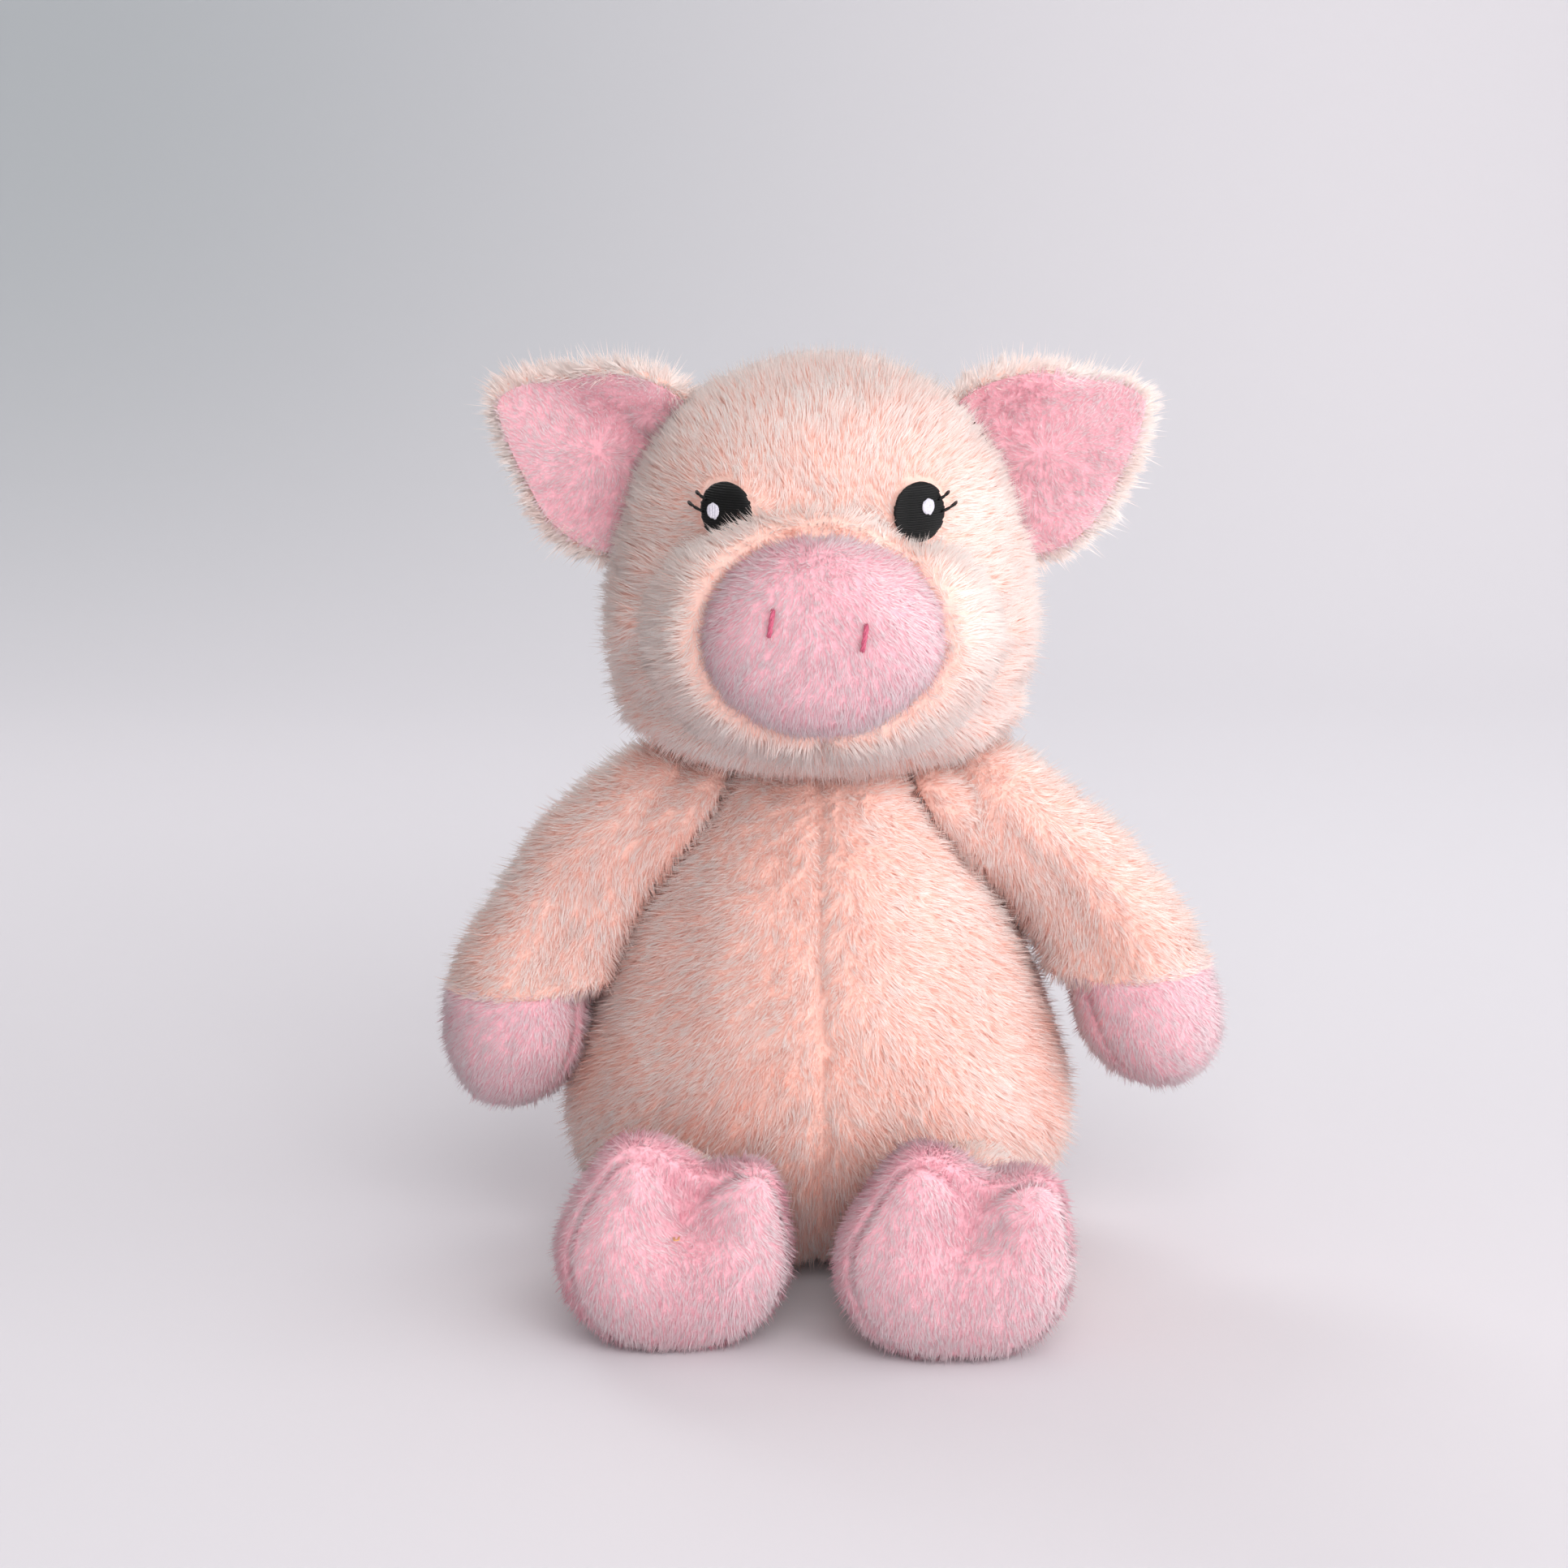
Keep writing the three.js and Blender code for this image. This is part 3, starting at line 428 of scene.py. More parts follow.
def new_material(name, roughness, gloss=0.25, sheen=0.0):
    """An empty material with its finish set, and a wire at its object coordinates to build on."""
    material = bpy.data.materials.new(name)
    material.use_nodes = True
    shader = material.node_tree.nodes["Principled BSDF"]
    shader.inputs["Roughness"].default_value = roughness
    shader.inputs["Specular IOR Level"].default_value = gloss
    shader.inputs["Sheen Weight"].default_value = sheen
    shader.inputs["Sheen Roughness"].default_value = 0.4
    start = Wire(material.node_tree, None)
    place = start.node("ShaderNodeTexCoord", output=3)
    return material, shader, place


def join(wire, shader, name):
    wire.tree.links.new(wire.socket, shader.inputs[name])


def pile_material(name, pile):
    """Strand colours on the strands' own map: across it the shade of the strand, in a plain half and a warm
    half, which gives the seams' colour and painted shade, and up it the way from root to tip."""
    material, shader, place = new_material(name, 0.6, gloss=0.08)
    strand_map = place.node("ShaderNodeUVMap", {"uv_map": STRAND_MAP})
    across, upward = (strand_map.part(axis) for axis in (0, 1))
    warm = across.above(0.5)
    shade = across * 2 - warm
    plain = shade.mix(tuple(pile.shade), tuple(pile.tip))
    warmed = shade.mix(tuple(pile.warm), tuple(pile.tip))
    tip = warm.mix(plain, warmed)
    # Towards the roots the colour deepens: partly the pile's own tone, partly painted shade among the
    # strands.
    rise = upward.soft_step(0.0, ROOT_COLOUR_SHARE)
    join(rise.mix(tuple(pile.root), tip), shader, "Base Color")
    return material


def cloth_material(name, low, high):
    """Woven backing under the pile: two close shades in soft patches, with a fine knit bump."""
    material, shader, place = new_material(name, 0.9, sheen=0.2)
    patches = place.node("ShaderNodeTexNoise", inputs={"Vector": place, "Scale": 160.0, "Detail": 3.0})
    knit = place.node("ShaderNodeTexVoronoi", inputs={"Vector": place, "Scale": 1400.0})
    join(patches.mix(low, high), shader, "Base Color")
    bumped = place.node("ShaderNodeBump", inputs={"Strength": 0.35, "Distance": 0.0004, "Height": knit})
    join(bumped, shader, "Normal")
    return material


def thread_material(name, shade):
    """Thread: the shade with fine darker and paler filaments, and the gloss of rayon."""
    material, shader, place = new_material(name, 0.42, gloss=0.3)
    lines = place.node("ShaderNodeTexNoise", inputs={"Vector": place, "Scale": 2600.0, "Detail": 4.0})
    dark, pale = np.array(shade) * 0.55, np.minimum(np.array(shade) * 1.6 + 0.003, 1)
    join(lines.mix(tuple(dark), tuple(pale)), shader, "Base Color")
    bumped = place.node("ShaderNodeBump", inputs={"Strength": 0.3, "Distance": 0.0002, "Height": lines})
    join(bumped, shader, "Normal")
    return material


def material_named(name, make):
    """The material of a name, which make(name) makes the first time."""
    return bpy.data.materials.get(name) or make(name)


class Fabric:
    """A cloth with pile: the record's slot for it, the settings of its strands, and its two materials."""

    def __init__(self, name, slot, settings):
        self.slot, self.settings = slot, settings
        shades = tuple(settings.cloth), tuple(settings.cloth_pale)
        self.backing = material_named(f"{name} cloth", lambda made: cloth_material(made, *shades))
        self.strands = material_named(f"{name} pile", lambda made: pile_material(made, settings))


def plush():
    """The long cream cloth."""
    return Fabric("cream", "cream_plush", bpy.context.scene.pig_plush)


def minky():
    """The short pink cloth."""
    return Fabric("pink", "pink_minky", bpy.context.scene.pig_minky)


def put_mesh(name, points, faces, material, around=None, map_points=None):
    """A mesh object at the origin from arrays, smooth, with its material; around gives each point's own
    shading normal and map_points its place on the strand map."""
    mesh = bpy.data.meshes.new(name)
    mesh.vertices.add(len(points))
    mesh.vertices.foreach_set("co", (points + MIDDLE).astype(np.float32).ravel())
    mesh.loops.add(faces.size)
    mesh.loops.foreach_set("vertex_index", faces.astype(np.int32).ravel())
    mesh.polygons.add(len(faces))
    mesh.polygons.foreach_set("loop_start", np.arange(0, faces.size, 3, dtype=np.int32))
    mesh.update(calc_edges=True)
    mesh.shade_smooth()
    if map_points is not None:
        layer = mesh.uv_layers.new(name=STRAND_MAP, do_init=False)
        layer.data.foreach_set("uv", map_points[faces.ravel()].astype(np.float32).ravel())
    if around is not None:
        normals = mesh.attributes.new("custom_normal", "FLOAT_VECTOR", "POINT")
        normals.data.foreach_set("vector", around.astype(np.float32).ravel())
    mesh.materials.append(material)
    made = bpy.data.objects.new(name, mesh)
    bpy.context.scene.collection.objects.link(made)
    return made


def normals_of(points, faces):
    """The normal at each point: the sum of its faces' cross products, made unit length."""
    corners = points[faces]
    across = np.cross(corners[:, 1] - corners[:, 0], corners[:, 2] - corners[:, 0])
    total = [np.bincount(faces.ravel(), np.repeat(across[:, axis], 3), len(points)) for axis in range(3)]
    return unit(np.stack(total, -1))


def closed_grid(surface, rings, sides):
    """A closed surface from surface(along, angle): rings of points between the poles at 0 and 1."""
    steps = np.arange(1, rings) / rings
    along = np.repeat(steps, sides)
    angle = np.tile(TURN * np.arange(sides) / sides, len(steps))
    body = surface(along, angle)
    first, final = surface(np.zeros(1), np.zeros(1))[0], surface(np.ones(1), np.zeros(1))[0]
    points = np.vstack([first, body, final])
    return points, outward(points, grid_faces(len(steps), sides))


def grid_faces(rows, sides):
    """The faces of a first point, a number of rings and a last point."""
    side = np.arange(sides)
    beside = (side + 1) % sides
    row = 1 + sides * np.arange(rows - 1)[:, None]
    near, far = (row + side).ravel(), (row + beside).ravel()
    top, last = 1 + sides * (rows - 1), 1 + sides * rows
    return np.vstack([
        np.stack([np.zeros(sides, int), 1 + beside, 1 + side], -1),
        np.stack([near, far, far + sides], -1),
        np.stack([near, far + sides, near + sides], -1),
        np.stack([np.full(sides, last), top + side, top + beside], -1),
    ])


def outward(points, faces):
    """The faces in the order that makes them point out, from the sign of the volume they enclose."""
    corners = points[faces]
    volume = np.einsum("ij,ij->", corners[:, 0], np.cross(corners[:, 1], corners[:, 2]))
    return faces[:, ::-1] if volume < 0 else faces


# How far apart the lumps of the filling lie
LUMP_LENGTH = 0.034


class Body:
    """A closed soft body: its points, faces and normals, and which of its points lie open to view."""

    def __init__(self, surface, rings, sides, lumps=0.0006, seed=1):
        self.rings, self.sides = rings, sides
        self.points, self.faces = closed_grid(surface, rings, sides)
        self.normals = normals_of(self.points, self.faces)
        self.points += self.normals * (lumps * waves(self.points, LUMP_LENGTH, seed))[:, None]
        self.open = np.ones(len(self.points))

    def sink(self, depth):
        """Moves the surface in under the pile, and less where it faces the floor that it rests on."""
        near_floor, floor_share, lowest = 0.012, 0.85, 0.0005
        facing_down = np.clip(-self.normals[:, 2], 0, 1) * bump(self.points[:, 2], near_floor)
        depth = np.broadcast_to(depth, len(self.points)) * (1 - floor_share * facing_down)
        self.points = self.points - self.normals * depth[:, None]
        self.points[:, 2] = np.maximum(self.points[:, 2], lowest)
        self.normals = normals_of(self.points, self.faces)

    def press(self, axis, wall, touches, low=False, margin=0.003):
        """Where touches(points) is true and a point lies beyond the wall of its neighbour along an axis, the
        point is pressed back onto the wall, from above it or, with low, from below. Pile grows there only
        within a margin of the edge."""
        target = wall(self.points)
        value = self.points[:, axis]
        beyond = touches(self.points) & ((value > target) if low else (value < target))
        hidden = beyond & (np.abs(value - target) > margin)
        self.points[beyond, axis] = target[beyond]
        self.open[hidden] = 0
        self.normals = normals_of(self.points, self.faces)

    def part(self, first, last):
        """The stretch of this body between two of its rings, closed by flat fans where it was cut."""
        rows = np.arange(max(first, 1), min(last, self.rings - 1) + 1)
        index = 1 + (rows[:, None] - 1) * self.sides + np.arange(self.sides)
        ends = [index[0], index[-1]]
        cut = [first > 0, last < self.rings]
        piece = object.__new__(Body)
        piece.rings, piece.sides = len(rows) + 1, self.sides
        for name in ("points", "normals", "open"):
            values = getattr(self, name)
            caps = [values[ring].mean(0) if is_cut else values[pole]
                    for ring, is_cut, pole in zip(ends, cut, (0, -1))]
            setattr(piece, name, np.concatenate([caps[:1], values[index.ravel()], caps[1:]]))
        piece.open[[0, -1]] = [not is_cut for is_cut in cut]
        piece.faces = outward(piece.points, grid_faces(len(rows), self.sides))
        return piece


def put_body(name, body, fabric, rider, nodes):
    """The skin of a padded piece, in the fabric's backing."""
    made = put_mesh(name, body.points, body.faces, fabric.backing)
    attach(made, rider)
    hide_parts(*nodes)
    return made


def scatter(body, density, random, keep):
    """Root places spread evenly by area over the open faces of a body, with the normals there."""
    open_share, square_millimetres = 0.7, 1e6
    shown = body.open[body.faces].mean(1) > open_share
    middles = body.points[body.faces].mean(1)
    faces = body.faces[shown & keep(middles)]
    corners, normals = body.points[faces], body.normals[faces]
    across = np.cross(corners[:, 1] - corners[:, 0], corners[:, 2] - corners[:, 0])
    areas = np.linalg.norm(across, axis=1) / 2
    count = int(areas.sum() * density * square_millimetres)
    chosen = np.searchsorted(np.cumsum(areas) / areas.sum(), random.random(count)).clip(0, len(faces) - 1)
    first, second = random.random((2, count))
    folded = first + second > 1
    first, second = np.where(folded, 1 - first, first), np.where(folded, 1 - second, second)
    weights = np.stack([1 - first - second, first, second], -1)[..., None]
    return (corners[chosen] * weights).sum(1), unit((normals[chosen] * weights).sum(1))


def drift(points, length, seed):
    """Smooth noise in three directions, about length apart."""
    return np.stack([waves(points, length, seed + axis) for axis in range(3)], -1)


# The nap wanders in broad swirls and in small ones: by how much of its direction, and how far apart they lie
LAY_SWIRLS = ((0.4, 0.030), (0.35, 0.007))
# The lean wanders likewise, in radians, and each strand has a lean and a turn of its own
LEAN_SWELLS = ((0.20, 0.012), (0.16, 0.005))
OWN_LEAN, OWN_TURN, LEAST_LEAN, MOST_LEAN = 0.10, 0.16, 0.15, 1.35
# Some strands stand up out of the nap and are longer
STRAY_SHARE, STRAY_LEAN_SHARE, STRAY_LENGTH_SHARE = 0.12, 0.5, 1.3
LENGTH_SHARES, WIDTH_SHARES, GATHER_SHARES = (0.72, 1.12), (0.75, 1.15), (0.5, 1.3)
# Tufts are cells of a grid, which is warped by waves of this length and frayed by chance at its borders
TUFT_WARP_LENGTH, TUFT_WARP_SHARE, TUFT_FRAY_SHARE = 0.006, 0.5, 0.2
# Strands start under the skin and end over the floor
ROOT_DEPTH, LOWEST_ROOT, LOWEST_TIP = 0.0004, 0.0002, 0.0003
# Strand shades: round the middle by broad waves, by the tuft and by the strand
SHADE_WAVE_LENGTH, SHADE_WAVE, SHADE_TUFT, SHADE_STRAND = 0.022, 0.24, 0.3, 0.17
SHADE_LIMITS = (0.05, 0.95)
# The places of a strand's three root points and its tip on the colour map, from its shade at the bottom
STRAND_MAP_POINTS = ((-0.006, 0.01), (0.006, 0.01), (0.0, 0.05), (0.0, 0.98))
# How much of its own roundness evenness takes from a strand, and how much of its way the tip's shading takes
SKIN_SHADING, TIP_SHADING = 0.85, 0.45
# Numbers that give each cell of a grid a number of its own
CELL_STEPS = np.array([1, 4099, 16785407])


def grow_pile(name, body, fabric, rider, nodes, comb, seed, keep=None, length=1.0, crowd=1.0, reach=None,
              warmth=None, even=None, facing=(0.0, 0.0, 0.0), fade=0.0):
    """Pile on a body: each strand is a closed spike from its root, which leans along the comb and gathers
    with its tuft. comb(points) gives the way that the nap runs, reach the share of the length and warmth
    the share of warm strands at each root; crowd multiplies the density. The shading takes the even
    share of its normals from the cloth and the rest from the strand, and leans to the facing direction.
    fade is how far up the colours of a whole strand the root starts."""
    pile = fabric.settings
    random = np.random.default_rng(seed)
    keep = keep or (lambda points: np.ones(len(points), bool))
    roots, normals = scatter(body, pile.density * crowd, random, keep)
    count = len(roots)

    # The way of each strand: turned from the normal towards the nap, by an angle that wanders
    lay = comb(roots)
    for number, (share, size) in enumerate(LAY_SWIRLS):
        lay = lay + share * drift(roots, size, seed + 11 + 3 * number)
    lay = unit(lay - normals * np.einsum("ij,ij->i", lay, normals)[:, None])
    angle = pile.lean + sum(
        swell * waves(roots, size, seed + 21 + number) for number, (swell, size) in enumerate(LEAN_SWELLS))
    angle = np.clip(angle + random.normal(0, OWN_LEAN, count), LEAST_LEAN, MOST_LEAN)
    stray = random.random(count) < STRAY_SHARE
    angle = np.where(stray, STRAY_LEAN_SHARE * angle, angle)
    side = np.cross(normals, lay)
    direction = normals * np.cos(angle)[:, None] + lay * np.sin(angle)[:, None]
    direction = unit(direction + side * random.normal(0, OWN_TURN, count)[:, None])
    extent = pile.length * length * random.uniform(*LENGTH_SHARES, count)
    extent = extent * np.where(stray, STRAY_LENGTH_SHARE, 1)
    if reach is not None:
        extent = extent * reach(roots)
    tips = roots + direction * extent[:, None]

    # The tips of a tuft draw together
    warp = drift(roots, TUFT_WARP_LENGTH, seed + 31) * pile.tuft * TUFT_WARP_SHARE
    fray = random.normal(0, TUFT_FRAY_SHARE, (count, 3))
    cells = np.floor((roots + warp) / pile.tuft + fray).astype(np.int64)
    _, tuft = np.unique(cells @ CELL_STEPS, return_inverse=True)
    members = np.bincount(tuft)
    centres = np.stack([np.bincount(tuft, tips[:, axis]) / members for axis in range(3)], -1)
    pull = pile.gather * (random.uniform(*GATHER_SHARES, count) * ~stray)[:, None]
    tips = tips + (centres[tuft] - tips) * pull
    tips[:, 2] = np.maximum(tips[:, 2], LOWEST_TIP)

    # Three points round the root and one at the tip, and the four faces between them
    direction = unit(tips - roots)
    across = unit(np.cross(direction, normals) + 1e-9)
    upward = np.cross(direction, across)
    turns = TURN * np.arange(3) / 3
    width = pile.width * random.uniform(*WIDTH_SHARES, count)[:, None, None] / 2
    rim = across[:, None] * np.cos(turns)[:, None] + upward[:, None] * np.sin(turns)[:, None]
    starts = roots - normals * ROOT_DEPTH
    points = np.concatenate([starts[:, None] + rim * width, tips[:, None]], 1)
    points[..., 2] = np.maximum(points[..., 2], LOWEST_ROOT)
    index = 4 * np.arange(count)[:, None, None]
    faces = (index + np.array([[0, 1, 3], [1, 2, 3], [2, 0, 3], [0, 2, 1]])).reshape(-1, 3)

    # The strand's place on the colour map: across by its shade and warmth, upward from root to tip
    tuft_shade = np.random.default_rng(seed + 5).random(len(members))[tuft]
    shade = (0.5 + SHADE_WAVE * waves(roots, SHADE_WAVE_LENGTH, seed + 41) + SHADE_TUFT * (tuft_shade - 0.5)
             + random.normal(0, SHADE_STRAND, count))
    shade = np.clip(shade, *SHADE_LIMITS)
    # Warm strands give the seams' colour and, where warmth() asks for it, painted shade in creases, hollows
    # and under the head.
    warm = random.random(count) < (np.zeros(count) if warmth is None else warmth(roots))
    offsets = np.array(STRAND_MAP_POINTS)
    offsets[:3, 1] += fade
    map_points = np.stack([(shade + warm) / 2, np.zeros(count)], -1)[:, None] + offsets

    even = pile.even if even is None else even
    own = np.concatenate([rim * (1 - SKIN_SHADING * even), direction[:, None] * TIP_SHADING], 1)
    around = unit(normals[:, None] * even + facing + own)
    made = put_mesh(name, points.reshape(-1, 3), faces, fabric.strands, around.reshape(-1, 3),
                    map_points.reshape(-1, 2))
    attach(made, rider)
    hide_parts(*nodes)
    return made


def on_front(points):
    """1 on the front of the torso, 0 behind its sides, with a soft edge between."""
    edge = 0.02
    return smooth(0.0, -edge, points[:, 1])


def down_and_out(points):
    """Nap that runs down, and away from the middle line on the front."""
    starts, ends, parting, spread = 0.01, -0.02, 0.02, 0.55
    front = smooth(starts, ends, points[:, 1])
    aside = np.clip(points[:, 0] / parting, -1, 1) * spread * front
    return np.stack([aside, np.zeros(len(points)), -np.ones(len(points))], -1)


def from_nose(points):
    """Nap that runs away from the nose over the whole head, and back and down behind."""
    nose = np.array([0.0, -0.075, 0.160])
    behind = np.array([0.0, 0.8, -1.0])
    starts, ends = -0.01, 0.03
    back = smooth(starts, ends, points[:, 1])[:, None]
    return unit(points - nose) * (1 - back) + behind * back


def straight(*way):
    """Nap that runs one way all over a piece."""
    return lambda points: np.tile(np.array(way, float), (len(points), 1))


def evenly(share):
    """The same share of warm strands all over a piece."""
    return lambda points: np.full(len(points), share)


def eye_nearness(points, width):
    """1 over the middle of each eye, and less with the distance from it."""
    distances = [np.hypot(points[:, 0] - sign * EYE_SPREAD, points[:, 2] - EYE_HEIGHT) for _, sign in SIDES]
    return (points[:, 1] < 0) * sum(bump(distance, width) for distance in distances)


def clear_of_eyes(points):
    """Which points lie outside the ovals of the eyes."""
    edge = 0.97
    ovals = [np.hypot((points[:, 0] - sign * EYE_SPREAD) / EYE_HALF_WIDTH,
                      (points[:, 2] - EYE_HEIGHT) / EYE_HALF_HEIGHT) for _, sign in SIDES]
    return (np.minimum(*ovals) > edge) | (points[:, 1] > 0)


def front_wall(form, offset):
    """The y of a form's front over each point, moved back by an offset."""
    return lambda points: form.front_at(points[:, 0], points[:, 2]) + offset


def side_wall(form, sign, inset):
    """The x of a form's side level with each point, moved inward by an inset."""
    return lambda points: sign * (form.side_at(points[:, 1], points[:, 2]) - inset)


def within(form, limit=1.0):
    """Which points lie inside a form, or within a share of its reach."""
    return lambda points: form.reach(points) < limit


def tangent_along(path, share, step=0.02):
    """The direction of a path at shares of its length, from its points a step before and a step after."""
    return unit(path(np.minimum(share + step, 1)) - path(np.maximum(share - step, 0)))


class PIG_OT_torso(bpy.types.Operator):
    """The torso: a pear that sits flat, with seams down the front and at the sides"""
    bl_idname = "pig.torso"
    bl_label = "Torso"

    def execute(self, context):
        sink, front_groove, side_groove = 0.0038, 0.0012, 0.0010
        front_half_width, side_half_width = 0.0018, 0.0020
        fabric = plush()
        body = Body(TORSO.surface, 110, 120, seed=3)
        front_seam = front_groove * bump(body.points[:, 0], front_half_width) * on_front(body.points)
        side_seams = side_groove * bump(body.points[:, 1], side_half_width)
        body.sink(sink + front_seam + side_seams)
        put_body("torso_body", body, fabric, "torso", ["torso_stuffing", "pellet_bag"])

        def warmth(p):
            """Warm strands: the seam's colour at the front seam, and painted shade low on the belly, beside
            the arms and under the head.
            """
            everywhere = 0.26
            seam = 0.74 * bump(p[:, 0], 0.0015) * on_front(p)
            # Painted shade: deeper warm strands low on the belly, beside the arms and under the head.
            low = 0.45 * smooth(0.050, 0.012, p[:, 2])
            shade_beside_arms = 0.6 * smooth(0.036, 0.048, np.abs(p[:, 0])) * smooth(0.03, 0.05, p[:, 2])
            shade_under_head = 0.7 * smooth(1.35, 1.1, HEAD.reach(p))
            return np.clip(everywhere + seam + low + shade_beside_arms + shade_under_head, 0, 1)

        def reach(p):
            """Shorter strands at the seams."""
            at_front = 0.5 * bump(p[:, 0], 0.0013) * on_front(p)
            at_sides = 0.2 * bump(p[:, 1], side_half_width)
            return 1 - at_front - at_sides

        quarters = [(f"torso_front_pile_{side}", f"torso_front_{side}", sign, -1) for side, sign in SIDES]
        quarters += [(f"torso_back_pile_{side}", "torso_back", sign, 1) for side, sign in SIDES]
        for number, (name, node, sign, way) in enumerate(quarters):
            def keep(p):
                return (sign * p[:, 0] >= 0) & (way * p[:, 1] >= 0) & (HEAD.reach(p) > 0.9)

            grow_pile(name, body, fabric, "torso", [node], down_and_out, 100 + number, keep,
                      reach=reach, warmth=warmth)
        return {"FINISHED"}


class PIG_OT_tail(bpy.types.Operator):
    """The tail: one and a half turns of a thin roll behind"""
    bl_idname = "pig.tail"
    bl_label = "Tail"

    def execute(self, context):
        radius, curl_radius, pitch, turns, height = 0.0036, 0.0075, 0.0105, 1.5, 0.040
        opening_share, thinning_share, round_share = 0.25, 0.45, 0.12
        root = TORSO.back

        def path(share):
            """A helix that runs back from the torso and opens from its axis over its first stretch."""
            turn = TURN * turns * share
            curl = curl_radius * np.sqrt(np.minimum(1, share / opening_share))
            y = root + pitch * turns * share
            return np.stack([curl * np.sin(turn), y, height - curl * np.cos(turn)], -1)

        def surface(along, angle):
            tangent = tangent_along(path, along)
            sideways = unit(np.cross(tangent, [0, 0, 1.0]))
            upwards = np.cross(sideways, tangent)
            ends = np.sqrt(np.clip(np.minimum(along, 1 - along) / round_share, 0, 1))
            half = (radius * (1 - thinning_share * along) * ends)[:, None]
            ring = sideways * np.cos(angle)[:, None] + upwards * np.sin(angle)[:, None]
            return path(along) + half * ring

        fabric = plush()
        body = Body(surface, 60, 20, lumps=0.0002, seed=9)
        body.sink(0.0002)
        put_body("tail_body", body, fabric, "torso", ["tail"])
        grow_pile("tail_pile", body, fabric, "torso", ["tail"], straight(0, 1, 0.2), 140,
                  length=0.65, crowd=1.5)
        return {"FINISHED"}


class PIG_OT_head(bpy.types.Operator):
    """The head: a round cover that sits on the torso, with the crown seam from ear to ear"""
    bl_idname = "pig.head"
    bl_label = "Head"

    def execute(self, context):
        sink, crown_groove, crown_half_width, fold_depth = 0.0038, 0.0010, 0.0020, 0.0012
        crown_from, crown_to, eye_width, eye_share, clearance = 0.124, 0.140, 0.0075, 0.75, 0.0004
        fold_length, fold_stretch, fold_seed = 0.013, (0.6, 0.6, 1.0), 71
        fabric = plush()
        body = Body(HEAD.surface, 110, 132, lumps=0.0006, seed=17)
        points = body.points
        x, y, z = points.T
        crown = crown_groove * bump(y + HEAD.forward, crown_half_width) * smooth(crown_from, crown_to, z)
        cheeks = smooth(0.022, 0.036, np.abs(x)) * smooth(0.182, 0.168, z) * (y < 0.02)
        folds = fold_depth * waves(points * fold_stretch, fold_length, fold_seed) * cheeks
        body.sink((sink + crown) * (1 - eye_share * eye_nearness(points, eye_width)) + folds)
        body.press(2, lambda p: TORSO.crossings(p[:, 0], p[:, 1])[1] + clearance, within(TORSO))
        put_body("head_body", body, fabric, "head", ["head_stuffing"])

        def comb(p):
            """Away from the nose, and away from each eye close to it."""
            nearness, strength = 0.012, 1.4
            lay = from_nose(p)
            for _, sign in SIDES:
                away = p - np.array([sign * EYE_SPREAD, p[:, 1].mean(), EYE_HEIGHT])
                away[:, 1] = 0
                near = bump(np.hypot(away[:, 0], away[:, 2]), nearness)[:, None]
                lay = lay * (1 - near) + strength * unit(away) * near
            return lay

        def reach(p):
            """Shorter strands round the eyes and at the crown seam."""
            at_eyes = 0.5 * eye_nearness(p, 0.0085)
            at_crown = 0.2 * bump(p[:, 1] + HEAD.forward, crown_half_width)
            return 1 - at_eyes - at_crown

        def warmth(p):
            """Painted shade: warm strands under the chin."""
            everywhere, chin = 0.04, 0.9 * smooth(0.132, 0.120, p[:, 2])
            return np.clip(everywhere + chin, 0, 1)

        def face(p):
            """The part before the crown seam, outside the muzzle, the torso and the eyes."""
            clear = (MUZZLE.reach(p) > 0.8) & (TORSO.reach(p) > 0.85) & clear_of_eyes(p)
            return (p[:, 1] < -HEAD.forward) & clear

        grow_pile("face_panel_pile", body, fabric, "head", ["face_panel"], comb, 200, face,
                  reach=reach, warmth=warmth)
        for number, (side, sign) in enumerate(SIDES):
            def behind(p):
                """The half of the part behind the crown seam that lies on this side."""
                return (p[:, 1] >= -HEAD.forward) & (sign * p[:, 0] >= 0) & (TORSO.reach(p) > 0.85)

            grow_pile(f"head_back_pile_{side}", body, fabric, "head", ["head_back"], comb, 201 + number,
                      behind, reach=reach, warmth=warmth)
        return {"FINISHED"}


